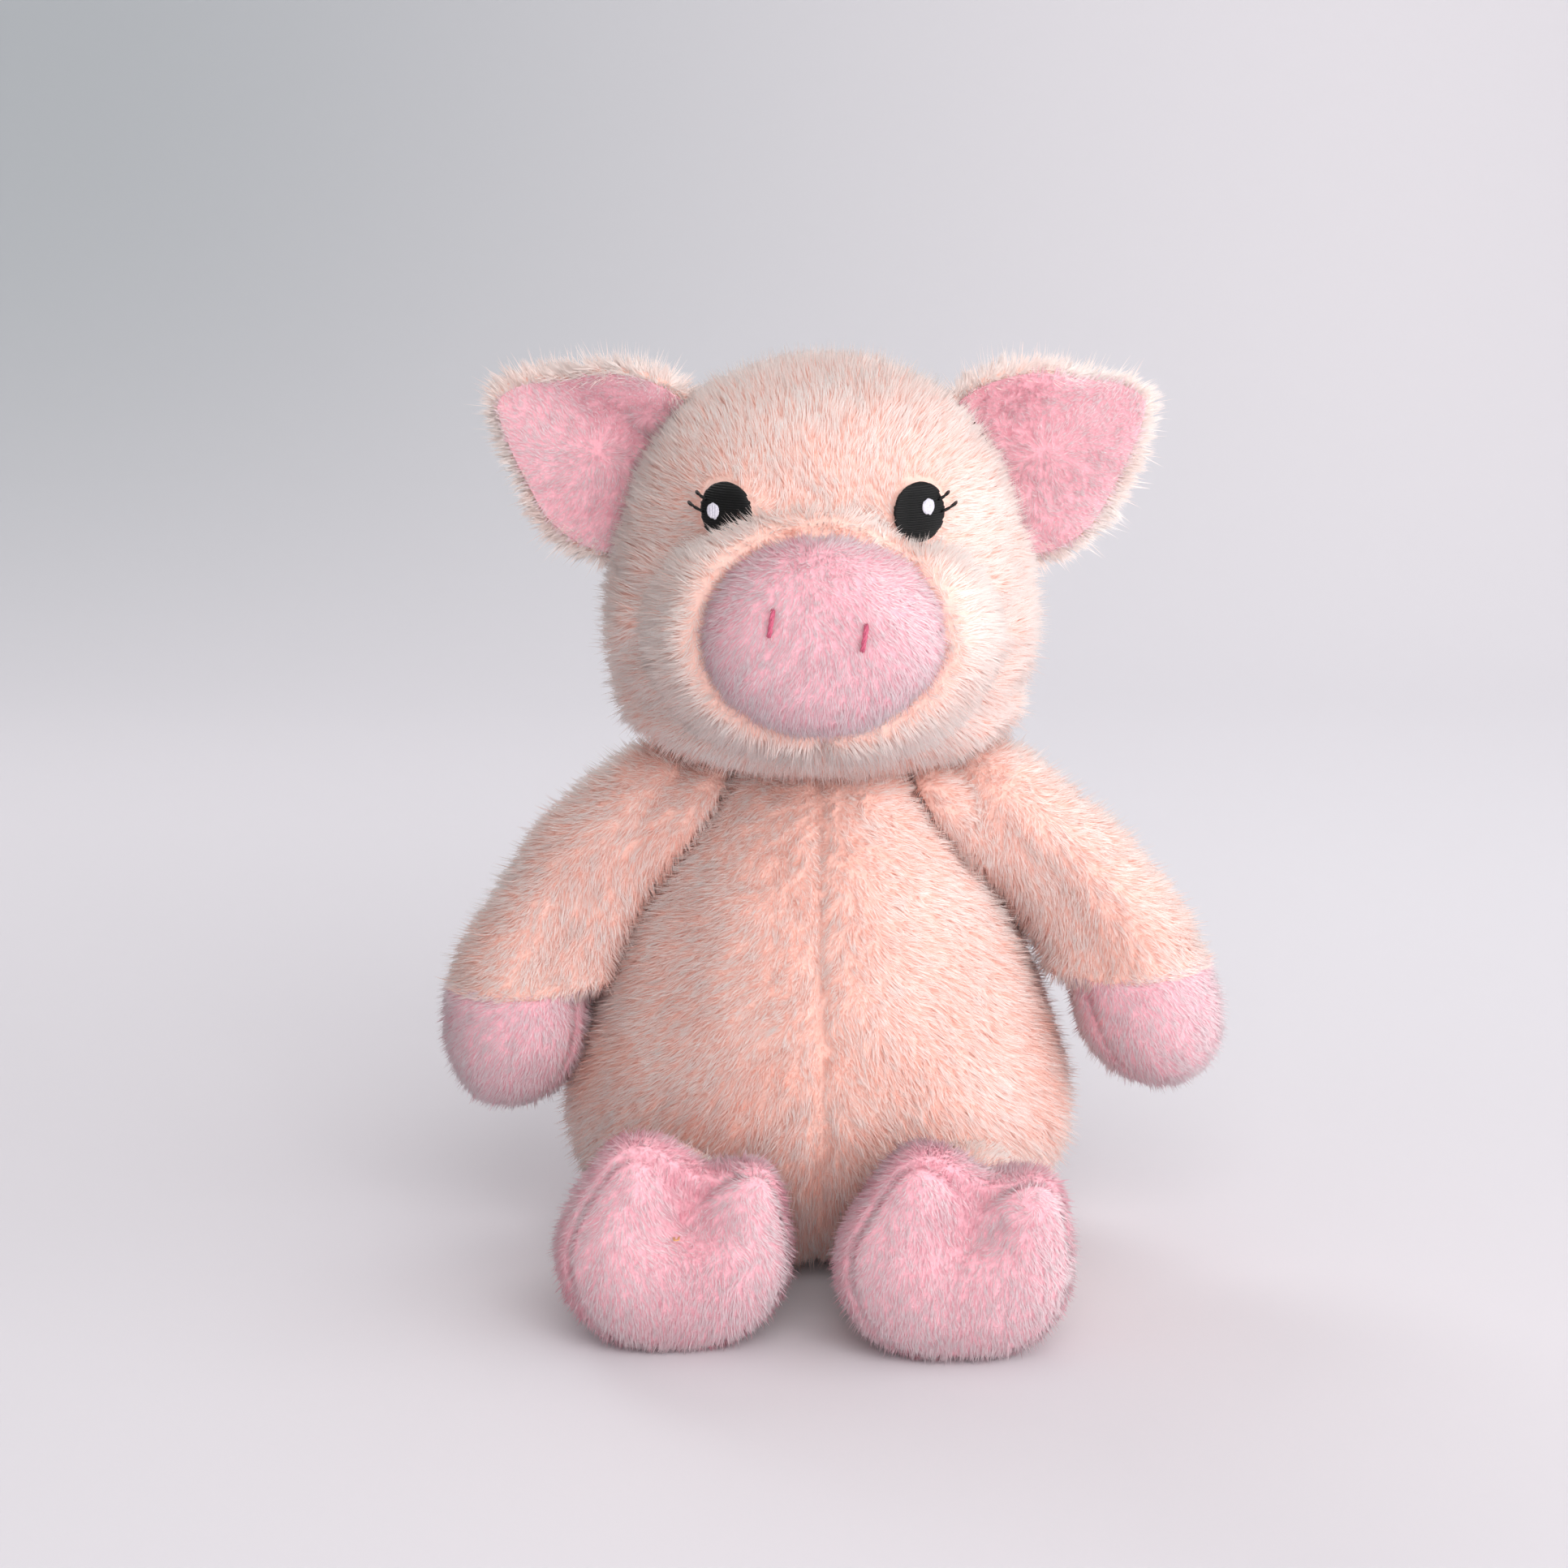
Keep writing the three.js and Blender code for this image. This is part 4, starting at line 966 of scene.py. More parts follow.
class PIG_OT_muzzle(bpy.types.Operator):
    """The muzzle and the snout pad that closes it"""
    bl_idname = "pig.muzzle"
    bl_label = "Muzzle and snout"

    def execute(self, context):
        self.make_muzzle()
        self.make_snout()
        return {"FINISHED"}

    def rim(self, p):
        """The ring of the pad that passes through each point: 1 at the pad's widest edge."""
        return SNOUT.ring(p[:, 0], p[:, 2])

    def make_muzzle(self):
        sink, chin_notch, lip, eye_width, clearance = 0.0034, 0.0030, 0.0014, 0.0085, 0.0004
        fabric = plush()
        body = Body(MUZZLE.surface, 64, 110, lumps=0.0006, seed=23)
        points = body.points
        x, _, z = points.T
        chin_half_width, chin_from, chin_to = 0.0022, MUZZLE.centre - 0.01, MUZZLE.centre - 0.025
        chin = chin_notch * bump(x, chin_half_width) * smooth(chin_from, chin_to, z)
        lip_ring, lip_half_width, groove_ring, groove_half_width = 1.2, 0.11, 1.02, 0.05
        rings = self.rim(points)
        swell = lip * (bump(rings - lip_ring, lip_half_width) - bump(rings - groove_ring, groove_half_width))
        under_eyes = (0.0022 + 0.0016 * np.sign(x)) * eye_nearness(points, eye_width)
        body.sink(sink + chin - swell + under_eyes)
        body.press(1, front_wall(HEAD, -clearance), within(HEAD, 1.02), low=True)
        put_body("muzzle_body", body, fabric, "head", ["muzzle_cover"])

        def comb(p):
            """Away from the middle of the pad, but inward over its edge."""
            away = p - np.array([0.0, p[:, 1].mean(), SNOUT.centre])
            away[:, 1] = 0
            over_pad = 1.5 * smooth(1.09, 1.0, self.rim(p))
            return unit(away) * (1 - over_pad)[:, None] + np.array([0.0, 0.0, -0.15])

        def keep(p):
            """Pile stays off the pad and off one eye, and hangs over the foot of the other."""
            return (SNOUT.reach(p) > 0.96) & (clear_of_eyes(p) | (p[:, 0] < 0))

        def reach(p):
            """Shorter strands at the pad's seam and over the eyes."""
            over_eyes = (0.45 + 0.2 * np.sign(p[:, 0])) * eye_nearness(p, eye_width)
            at_seam = 0.3 * bump(self.rim(p) - 1.0, 0.05)
            return (1 - at_seam) * (1 - over_eyes)

        def warmth(p):
            """Warm strands: the seam's colour round the pad, and painted shade under the chin."""
            everywhere, round_pad = 0.06, bump(self.rim(p) - 0.98, 0.03)
            # Painted shade under the chin.
            chin = 0.7 * smooth(0.136, 0.126, p[:, 2])
            return np.clip(everywhere + round_pad + chin, 0, 1)

        grow_pile("muzzle_pile", body, fabric, "head", ["muzzle_cover"], comb, 230, keep,
                  reach=reach, warmth=warmth, fade=0.3)

    def make_snout(self):
        sink, dent, dent_half_width, dent_half_height, clearance = 0.0019, 0.0004, 0.0016, 0.0042, 0.0030
        fabric = minky()
        pad = Body(SNOUT.surface, 64, 96, lumps=0.0004, seed=29)
        across, _, up = pad.points.T
        stitches = sum(bump(across - x, dent_half_width) * bump(up - z, dent_half_height)
                       for x, z in NOSTRILS.values())
        pad.sink(sink + dent * stitches)
        pad.press(1, front_wall(MUZZLE, clearance), within(MUZZLE, 0.95), low=True)
        put_body("snout_body", pad, fabric, "head", ["snout_pad"])

        def comb(p):
            """Down, and out from the middle line."""
            spread = 12.0
            return p * [spread, 0, 0] + [0, 0, -1.0]

        def warmth(p):
            """Warm strands at the pad's edge."""
            return 0.1 + 0.5 * smooth(0.8, 1.0, self.rim(p))

        grow_pile("snout_pile", pad, fabric, "head", ["snout_pad"], comb, 240, warmth=warmth)


def ear_layer(side, sign, inset, behind, thickness):
    """One layer of an ear. Its outline is a closed curve, drawn in from the edge by the inset. Its middle
    is hollowed: behind plus thickness times depth, less the cup times the square of the distance outward
    and a fold across it. The whole leans out from the root on the head."""
    fold_depth, fold_place, fold_slant, fold_half_width = 0.0035, 0.2, 0.3, 0.32
    lean = math.radians(EAR_LEAN)
    root = np.array(JOINTS[f"ear_root_{side}"]["pos_m"]) - MIDDLE
    centre = np.array([EAR_REACH * EAR_MIDDLE_SHARE, 0.0, 0.0])
    turned = np.array([[math.cos(lean), 0, -math.sin(lean)], [0, 1, 0], [math.sin(lean), 0, math.cos(lean)]])

    def surface(along, angle):
        depth, size = rows_at(MOUND_SHARES, along)
        shares = curve_through(EAR_OUTLINE_SHARES, (angle / TURN) % 1, closed=True)
        edge = np.stack([shares[:, 0] * EAR_REACH, 0 * angle, shares[:, 1] * EAR_HALF_ROOT], -1) - centre
        span = np.linalg.norm(edge, axis=1, keepdims=True)
        edge = edge / span * (span - inset) * size[:, None]
        out, up = edge[:, 0] / EAR_REACH, edge[:, 2] / EAR_HALF_ROOT
        fold = fold_depth * bump(up - fold_place - fold_slant * out, fold_half_width)
        hollow = EAR_CUP * (out * out + up * up) - fold
        place = np.stack([edge[:, 0], behind + thickness * depth - hollow, edge[:, 2]], -1) + centre
        place = place @ turned.T
        place[:, 0] *= sign
        return place + root

    return surface


class PIG_OT_ears(bpy.types.Operator):
    """The ears: a plush back with a long fringe and a smooth cupped lining"""
    bl_idname = "pig.ears"
    bl_label = "Ears"

    def execute(self, context):
        back_rings, lining_rings, sides = 26, 30, 150
        back_inset, back_place, back_thickness = 0.0028, 0.0008, 0.0032
        lining_inset, lining_place, lining_thickness = 0.0042, -0.0016, 0.0018
        fringe_share, overlap, back_facing, lining_facing = 0.84, 0.002, 0.1, 0.3
        lean = math.radians(EAR_LEAN)
        centre = EAR_REACH * EAR_MIDDLE_SHARE
        long_pile, short_pile = plush(), minky()
        for side, sign in SIDES:
            root = np.array(JOINTS[f"ear_root_{side}"]["pos_m"]) - MIDDLE
            away = np.array([sign * math.cos(lean), 0.0, math.sin(lean)])
            middle = root + centre * away
            rider, back_node, lining_node = f"ear_{side}", f"ear_back_{side}", f"ear_lining_{side}"

            def comb(p):
                """Out from the middle of the ear, and away from the head."""
                return unit(p - middle) * 0.8 + away * 0.5

            def warmth(p):
                """Painted shade: warm strands in the hollow by the head."""
                return 0.12 + 0.6 * smooth(0.55 * EAR_REACH, 0.0, np.abs(p[:, 0] - root[0]))

            back = Body(ear_layer(side, sign, back_inset, back_place, back_thickness), back_rings, sides,
                        lumps=0.0004, seed=31)
            back.press(0, side_wall(HEAD, sign, overlap), within(HEAD, 0.97), low=sign < 0)
            put_body(f"ear_back_body_{side}", back, long_pile, rider, [back_node])
            rings = rows_at(MOUND_SHARES, np.linspace(0, 1, back_rings + 1))[1]
            size = np.concatenate([[0], np.repeat(rings[1:-1], sides), [0]])
            free = back.open
            back.open = free * (back.normals[:, 1] > back_facing) * (size < fringe_share)
            grow_pile(f"ear_back_pile_{side}", back, long_pile, rider, [back_node], comb, 310 + sign,
                      warmth=evenly(0.06))
            back.open = free * (size > fringe_share)
            grow_pile(f"ear_fringe_{side}", back, long_pile, rider, [back_node], comb, 320 + sign,
                      length=1.15, crowd=2.2, even=0.0, facing=(0.0, -0.35, 0.5), fade=0.5)

            lining = Body(ear_layer(side, sign, lining_inset, lining_place, lining_thickness), lining_rings,
                          sides, lumps=0.0005, seed=37)
            lining.press(0, side_wall(HEAD, sign, overlap), within(HEAD, 0.97), low=sign < 0)
            put_body(f"ear_lining_body_{side}", lining, short_pile, rider, [lining_node])
            lining.open = lining.open * (lining.normals[:, 1] < lining_facing)
            grow_pile(f"ear_lining_pile_{side}", lining, short_pile, rider, [lining_node], comb, 330 + sign,
                      warmth=warmth)
        return {"FINISHED"}


class Arm:
    """One arm before it is pressed: its spine from the shoulder to the fingertips, turned out by its splay,
    and the surface round it."""

    def __init__(self, side, sign):
        self.shoulder = np.array(JOINTS[f"shoulder_{side}"]["pos_m"]) - MIDDLE
        splay = math.radians(-sign * ARM_SPLAYS[side])
        self.turned = np.array(
            [[math.cos(splay), 0, math.sin(splay)], [0, 1, 0], [-math.sin(splay), 0, math.cos(splay)]])
        shares = np.array(ARM_SPINE_SHARES)
        steps = np.arange(len(shares)) / (len(shares) - 1)
        hanging = np.stack(
            [sign * shares[:, 0] * ARM_LENGTH, -ARM_FORWARD * steps, shares[:, 1] * ARM_LENGTH], -1)
        self.spine = curve_through(hanging @ self.turned.T + self.shoulder, np.linspace(0, 1, 300))
        lengths = np.concatenate([[0], np.cumsum(np.linalg.norm(np.diff(self.spine, axis=0), axis=1))])
        self.lengths = lengths / lengths[-1]
        self.turns = np.linspace(0, TURN, 49)
        self.wrists = self.wrist_shares()

    def path(self, share):
        """The spine at shares of its length."""
        return np.stack([np.interp(share, self.lengths, self.spine[:, axis]) for axis in range(3)], -1)

    def surface(self, along, angle):
        """Ovals square to the spine: half widths from the table, across it and from front to back."""
        share, across, deep = rows_at(ARM_SHARES, along)
        share = np.clip(share, 0, 1)
        tangent = tangent_along(self.path, share, 0.01)
        sideways = unit(np.stack([tangent[:, 2], 0 * share, -tangent[:, 0]], -1))
        forwards = np.cross(tangent, sideways)
        return (self.path(share) + sideways * (ARM_RADIUS * across * np.cos(angle))[:, None]
                + forwards * (ARM_RADIUS * deep * np.sin(angle))[:, None])

    def over_wrist(self, points):
        """How far each point lies over the wrist's plane, along the splayed arm."""
        return (points - self.shoulder) @ self.turned[:, 2] + WRIST_DROP

    def wrist_shares(self):
        """For each turn round the arm, the share along it at which the surface passes the wrist."""
        steps, count = np.linspace(0, 1, 300), len(self.turns)
        tried = self.surface(np.tile(steps, count), np.repeat(self.turns, len(steps)))
        return np.argmax(self.over_wrist(tried.reshape(count, len(steps), 3)) < 0, 1) / (len(steps) - 1)

    def ringed_surface(self, along, angle):
        """The surface with its rings spaced so that the middle one lies in the wrist's plane."""
        wrist = np.interp(angle % TURN, self.turns, self.wrists)
        above, below = 2 * along * wrist, wrist + (1 - wrist) * (2 * along - 1)
        return self.surface(np.where(along < 0.5, above, below), angle)


class PIG_OT_arms(bpy.types.Operator):
    """The arms: plush sleeves that hang from the shoulders and end in smooth mitts"""
    bl_idname = "pig.arms"
    bl_label = "Arms and hands"

    def execute(self, context):
        rings, sides, mitt_sink, sleeve_sink, seam_groove = 120, 132, 0.0014, 0.0022, 0.0010
        inner_sink, clearance, head_clearance, neck_height = 0.0095, 0.0025, 0.002, 0.145
        seam_angle, seam_half_angle = math.radians(-30), 0.09
        long_pile, short_pile = plush(), minky()
        for side, sign in SIDES:
            arm = Arm(side, sign)
            rider, down = f"arm_{side}", unit(arm.spine[-1] - arm.spine[0])

            def sleeve_share(p):
                """1 on the sleeve and 0 on the mitt."""
                return smooth(-0.002, 0.003, arm.over_wrist(p))

            def near_seam(p):
                """1 on the mitt's edge seam, which runs down the inner front of the hand."""
                x, y = (np.interp(-p[:, 2], -arm.spine[:, 2], arm.spine[:, axis]) for axis in (0, 1))
                turn = np.arctan2(p[:, 1] - y, -sign * (p[:, 0] - x))
                return bump(turn - seam_angle, seam_half_angle) * (1 - sleeve_share(p))

            def comb(p):
                """Down the arm, and a little out from it."""
                return np.tile(down, (len(p), 1)) + 0.25 * unit(p - arm.path(np.full(len(p), 0.3)))

            def warmth(p):
                """Warm strands as painted shade beside the torso and under the head."""
                everywhere, shade_beside_torso = 0.2, 0.8 * smooth(1.12, 1.0, TORSO.reach(p))
                shade_under_head = 0.7 * smooth(1.35, 1.1, HEAD.reach(p))
                return np.clip(everywhere + shade_beside_torso + shade_under_head, 0, 1)

            whole = Body(arm.ringed_surface, rings, sides, lumps=0.0008, seed=41 + sign)
            points = whole.points
            inward = np.clip(-sign * whole.normals[:, 0], 0, 1) * (1 - smooth(1.0, 1.4, TORSO.reach(points)))
            whole.sink(mitt_sink + seam_groove * near_seam(points)
                       + sleeve_share(points) * (sleeve_sink - inner_sink * inward))
            whole.press(0, side_wall(TORSO, sign, clearance), within(TORSO), low=sign < 0)
            whole.press(2, lambda p: HEAD.crossings(p[:, 0], p[:, 1])[0] + head_clearance,
                        lambda p: (HEAD.reach(p) < 1) & (p[:, 2] < neck_height), low=True)

            sleeve = whole.part(0, rings // 2)
            put_body(f"arm_body_{side}", sleeve, long_pile, rider, [f"arm_stuffing_{side}"])
            grow_pile(f"arm_sleeve_pile_{side}", sleeve, long_pile, rider, [f"arm_sleeve_{side}"], comb,
                      410 + sign, lambda p: HEAD.reach(p) > 0.9, warmth=warmth,
                      reach=lambda p: 0.78 + 0.22 * smooth(0.0, 0.008, arm.over_wrist(p)))

            hand = whole.part(rings // 2, rings)
            put_body(f"hand_body_{side}", hand, short_pile, rider, [f"hand_{side}"])
            grow_pile(f"hand_pile_{side}", whole, short_pile, rider, [f"hand_{side}"], comb, 430 + sign,
                      lambda p: arm.over_wrist(p) < 0.0012, warmth=lambda p: 0.1 + 0.9 * near_seam(p),
                      reach=lambda p: 1 - 0.5 * near_seam(p))
        return {"FINISHED"}


def foot_surface(spread, reach):
    """A foot: an upright pad that grows forward from its heel. Its outline is an oval, fuller below and
    raised to two toes above, and its sole is drawn in by a dimple and by a cleft between the toes."""
    fullness, side_rise_share, shown_from, shown_to = 2.25, 0.8, 0.3, 0.62

    def surface(along, angle):
        depth, size = rows_at(FOOT_SHARES, along)
        rise = sum(height * bump(np.degrees(angle) - turn, width) for turn, width, height in TOES)
        fuller = (np.abs(np.cos(angle)) ** fullness + np.abs(np.sin(angle)) ** fullness) ** (-1 / fullness)
        size = size * np.where(np.sin(angle) < 0, fuller, 1)
        x = (FOOT_HALF_WIDTH + side_rise_share * rise) * size * np.cos(angle)
        z = (FOOT_HALF_HEIGHT + rise) * size * np.sin(angle)
        rising = smooth(0, DIMPLE_RISE, z)
        dimple = DIMPLE_DEPTH * bump(np.hypot(x, z - DIMPLE_RISE), DIMPLE_RADIUS)
        cleft = CLEFT_DEPTH * bump(x - CLEFT_SIDE * rising, CLEFT_HALF_WIDTH) * rising
        y = FOOT_DEPTH * (1 - depth) - reach + (dimple + cleft) * smooth(shown_from, shown_to, depth)
        return np.stack([spread + x, y, FOOT_HALF_HEIGHT - FLAT_DEPTH + z], -1)

    return surface


class PIG_OT_legs(bpy.types.Operator):
    """The legs and feet: short sleeves, and upright pads with two toes and a tack in the sole"""
    bl_idname = "pig.legs"
    bl_label = "Legs and feet"

    def execute(self, context):
        for side, sign in SIDES:
            leg = self.make_leg(side, sign)
            self.make_foot(side, sign, leg)
        return {"FINISHED"}

    def make_leg(self, side, sign):
        sink, clearance, heel_overlap = 0.0034, 0.0025, 0.004
        spread, reach = LEG_PLACES[side]
        length = reach - FOOT_DEPTH + LEG_OVERLAP - LEG_START
        heel = FOOT_DEPTH - reach
        fabric = plush()
        leg = MoundForm(MOUND_SHARES, LEG_START, length, LEG_RADIUS, LEG_RADIUS, LEG_HEIGHT, spread)
        body = Body(leg.surface, 40, 60, lumps=0.0005, seed=51 + sign)
        body.sink(sink)
        body.press(1, front_wall(TORSO, clearance), within(TORSO), low=True)
        put_body(f"leg_body_{side}", body, fabric, f"leg_{side}", [f"leg_stuffing_{side}"])
        grow_pile(f"leg_sleeve_pile_{side}", body, fabric, f"leg_{side}", [f"leg_sleeve_{side}"],
                  straight(0, -1, 0), 510 + sign, lambda p: p[:, 1] > heel - heel_overlap, length=0.8)
        return leg

    def make_foot(self, side, sign, leg):
        sink, seam_groove, seam_half_width, overlap = 0.0015, 0.0012, 0.0010, 0.0005
        spread, reach = LEG_PLACES[side]
        fabric = minky()

        def seam(p):
            """How far forward the rim's seam runs, which differs from side to side."""
            share = FOOT_SEAM_SHARE - FOOT_SEAM_SLANT_SHARE * (p[:, 0] - spread) / FOOT_HALF_WIDTH
            return FOOT_DEPTH * (1 - share) - reach

        def dimple_shade(p):
            """Painted shade: warm strands in the dimple where the tack draws the sole in."""
            distance = np.hypot(p[:, 0] - spread, p[:, 2] - FOOT_HALF_HEIGHT - DIMPLE_RISE)
            return 0.06 + 0.7 * bump(distance, DIMPLE_RADIUS)

        foot = Body(foot_surface(spread, reach), 84, 120, lumps=0.0005, seed=53 + sign)
        foot.sink(sink + seam_groove * bump(foot.points[:, 1] - seam(foot.points), seam_half_width))
        foot.press(1, front_wall(TORSO, -overlap), within(TORSO, 1.01), low=True)
        upper, sole = f"foot_upper_{side}", f"foot_sole_{side}"
        put_body(f"foot_body_{side}", foot, fabric, f"leg_{side}", [upper, sole])
        grow_pile(f"foot_upper_pile_{side}", foot, fabric, f"leg_{side}", [upper], straight(0, -0.4, -1),
                  530 + sign, lambda p: (p[:, 1] > seam(p)) & (leg.reach(p) > 0.9), warmth=evenly(0.95))
        grow_pile(f"foot_sole_pile_{side}", foot, fabric, f"leg_{side}", [sole], straight(0.1, 0, -1),
                  550 + sign, lambda p: p[:, 1] <= seam(p), warmth=dimple_shade)


def satin_patch(half_width, half_height, x, z, front_at, lift, thickness, seed, upright=False):
    """Satin stitch: rows of thread side by side inside an oval. At row height v and turn a round the row:
    across = half width sqrt(1 - v^2) cos a, out = thickness (1 - v^6) |sin a|^0.6, ridged once for each
    thread. front_at(x, z) gives the y of the cloth that it lies on."""
    ragged_share, rings_per_thread, sides, ridge_share, edge_power = 0.35, 5, 32, 0.34, 0.6
    random = np.random.default_rng(seed)
    across_size, row_size = (half_height, half_width) if upright else (half_width, half_height)
    threads = int(2 * row_size / THREAD)
    ends = random.uniform(-1, 1, (2, threads + 1)) * THREAD * ragged_share

    def surface(along, angle):
        row = -1 + 2 * along
        thread = np.clip((along * threads).astype(int), 0, threads)
        ridge = np.sqrt(np.abs(np.sin(math.pi * along * threads)))
        end = np.where(np.cos(angle) > 0, ends[0][thread], -ends[1][thread])
        half = across_size * np.sqrt(np.clip(1 - row * row, 0, 1))
        across = half * np.cos(angle) + end * np.abs(np.cos(angle)) ** 3
        round_edge = np.sign(np.sin(angle)) * np.abs(np.sin(angle)) ** edge_power
        out = thickness * (1 - ridge_share + ridge_share * ridge) * np.clip(1 - row ** 6, 0, 1) * round_edge
        place_x, place_z = (row * row_size, across) if upright else (across, row * row_size)
        px, pz = x + place_x, z + place_z
        return np.stack([px, front_at(px, pz) - lift - out, pz], -1)

    return closed_grid(surface, threads * rings_per_thread, sides)


def stitch(start, end, front_at, radius, rise, lift, strands=3):
    """A stitch: strands twisted round a line that arches from start to end over the cloth and goes into it
    at both ends. Each strand is a round tube at half the radius from that line. front_at(x, z) gives the y
    of the cloth."""
    start, end = np.array(start), np.array(end)
    twists, buried, strand_share, round_share, rings, sides = 1.2, 0.0022, 0.55, 0.06, 30, 10
    parts = []
    for number in range(strands):
        phase = TURN * number / strands

        def path(share):
            line = start + (end - start) * share[:, None]
            turn = TURN * twists * share + phase
            middle = 2 * share - 1
            arch = rise * np.sqrt(np.clip(1 - np.square(middle), 0, 1))
            y = front_at(line[:, 0], line[:, 1]) - lift - arch + buried * np.abs(middle) ** 6
            twist = radius / 2
            return np.stack([line[:, 0] + twist * np.cos(turn), y + twist * np.sin(turn), line[:, 1]], -1)

        def surface(along, angle):
            tangent = tangent_along(path, along)
            sideways = unit(np.cross(tangent, [0, -1.0, 0.01]))
            forwards = np.cross(sideways, tangent)
            ends = np.sqrt(np.clip(np.minimum(along, 1 - along) / round_share, 0, 1))
            ring = sideways * np.cos(angle)[:, None] + forwards * np.sin(angle)[:, None]
            return path(along) + (radius * strand_share * ends)[:, None] * ring

        parts.append(closed_grid(surface, rings, sides))
    return joined(parts)


def joined(parts):
    """Several closed meshes as one pair of arrays."""
    starts = np.cumsum([0] + [len(points) for points, _ in parts[:-1]])
    return np.vstack([points for points, _ in parts]), np.vstack([f + s for (_, f), s in zip(parts, starts)])


def put_thread(name, mesh, material, rider, slot, *nodes):
    """A piece of sewn thread, and the nodes that it replaces."""
    made = put_mesh(name, *mesh, material)
    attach(made, rider)
    if nodes:
        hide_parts(*nodes)


class PIG_OT_embroidery(bpy.types.Operator):
    """The eyes with their glints and lashes, the nostril stitches and the tack in a sole"""
    bl_idname = "pig.embroidery"
    bl_label = "Embroidery"

    def execute(self, context):
        threads = context.scene.pig_threads
        black = thread_material("eye thread", threads.eye)
        pale = thread_material("glint thread", threads.glint)
        rose = thread_material("nostril thread", threads.nostril)
        for side, sign in SIDES:
            middle = sign * EYE_SPREAD
            eye = satin_patch(EYE_HALF_WIDTH, EYE_HALF_HEIGHT, middle, EYE_HEIGHT, HEAD.front_at,
                              lift=0.0, thickness=0.0013, seed=61)
            put_thread(f"eye_patch_{side}", eye, black, "head", "black_thread", f"eye_{side}")
            across, up = GLINTS[side]
            glint = satin_patch(GLINT_HALF_WIDTH, GLINT_HALF_HEIGHT, middle + across, EYE_HEIGHT + up,
                                HEAD.front_at, lift=0.0011, thickness=0.0006, seed=67, upright=True)
            put_thread(f"eye_glint_patch_{side}", glint, pale, "head", "pale_thread", f"eye_glint_{side}")
            lashes = []
            for lash in LASHES:
                start, end = ((sign * (EYE_SPREAD + out), EYE_HEIGHT + up) for out, up in lash)
                lashes.append(stitch(start, end, HEAD.front_at, radius=0.00046, rise=0.0004, lift=0.0009,
                                     strands=2))
            put_thread(f"lashes_{side}", joined(lashes), black, "head", "black_thread")
            x, z = NOSTRILS[side]
            aside = NOSTRIL_HALF_HEIGHT * math.sin(NOSTRIL_TILT)
            line = stitch((x - aside, z - NOSTRIL_HALF_HEIGHT), (x + aside, z + NOSTRIL_HALF_HEIGHT),
                          SNOUT.front_at, radius=0.00056, rise=0.0004, lift=-0.0003)
            put_thread(f"nostril_{side}", line, rose, "head", "rose_thread", f"nostril_stitch_{side}")

        spread, reach = LEG_PLACES[TACK_SIDE]
        x = spread + TACK_OUTWARD
        start, end = (x - TACK_HALF_LENGTH, TACK_HEIGHT), (x + TACK_HALF_LENGTH, TACK_HEIGHT + TACK_SLANT)
        tack = stitch(start, end, lambda across, height: 0 * across - reach + DIMPLE_DEPTH,
                      radius=0.0003, rise=0.0002, lift=0.0002)
        peach = thread_material("tack thread", threads.tack)
        put_thread("sole_tack", tack, peach, f"leg_{TACK_SIDE}", "rose_thread")
        return {"FINISHED"}


# The camera: the width of its sensor in millimetres, its focal length and the width of the picture in pixels
SENSOR_WIDTH, LENS_PIXELS, FRAME_PIXELS = 36.0, 5000, 1932
# The point that it looks at
AIM = (-0.0085, 0.0, 0.1119)
# Each lamp: its place, its size and its power. All of them face one point over the floor.
LAMPS = {
    "key": ((0.95, -1.05, 0.66), 0.8, 6.2),
    "front": ((0.2, -1.2, 1.0), 1.0, 10.0),
    "low": ((0.15, -1.2, 0.1), 0.8, 5.0),
    "left": ((-1.1, -0.8, 0.3), 1.0, 1.6),
    "right": ((1.3, -0.3, 0.36), 1.0, 9.0),
    "top": ((0.1, 0.1, 1.6), 1.4, 3.4),
    "back": ((-0.5, 1.0, 0.9), 0.8, 6.8),
}
LAMP_AIM = (0.0, 0.0, 0.1)


def sweep_material(studio):
    """Pale paper: the floor's colour round the toy, a paler one half way back as a painted band of light,
    and a darker one at the far left as painted shade, each fading into the next, with a fine grain on the
    floor."""
    material, shader, place = new_material("sweep paper", 0.85)
    across, away = place.part(0), place.part(1)
    grain = place.node("ShaderNodeTexNoise", inputs={"Vector": place, "Scale": 900.0, "Detail": 2.0})
    grain_shade, leftward_share = 0.985, 0.6
    # Painted shade: the backdrop darkens towards the far left, and a painted paler band lies half way back.
    behind = away.soft_step(0.35, 1.0)
    leftward = across.soft_step(0.3, -0.4)
    rising = away.soft_step(-0.1, 0.35)
    plain = grain.mix(tuple(np.array(studio.floor) * grain_shade), tuple(studio.floor))
    middle = rising * (1.0 - behind) * (1.0 - leftward * leftward_share)
    plain = middle.mix(plain, tuple(studio.middle))
    join((behind * leftward).mix(plain, tuple(studio.far)), shader, "Base Color")
    return material


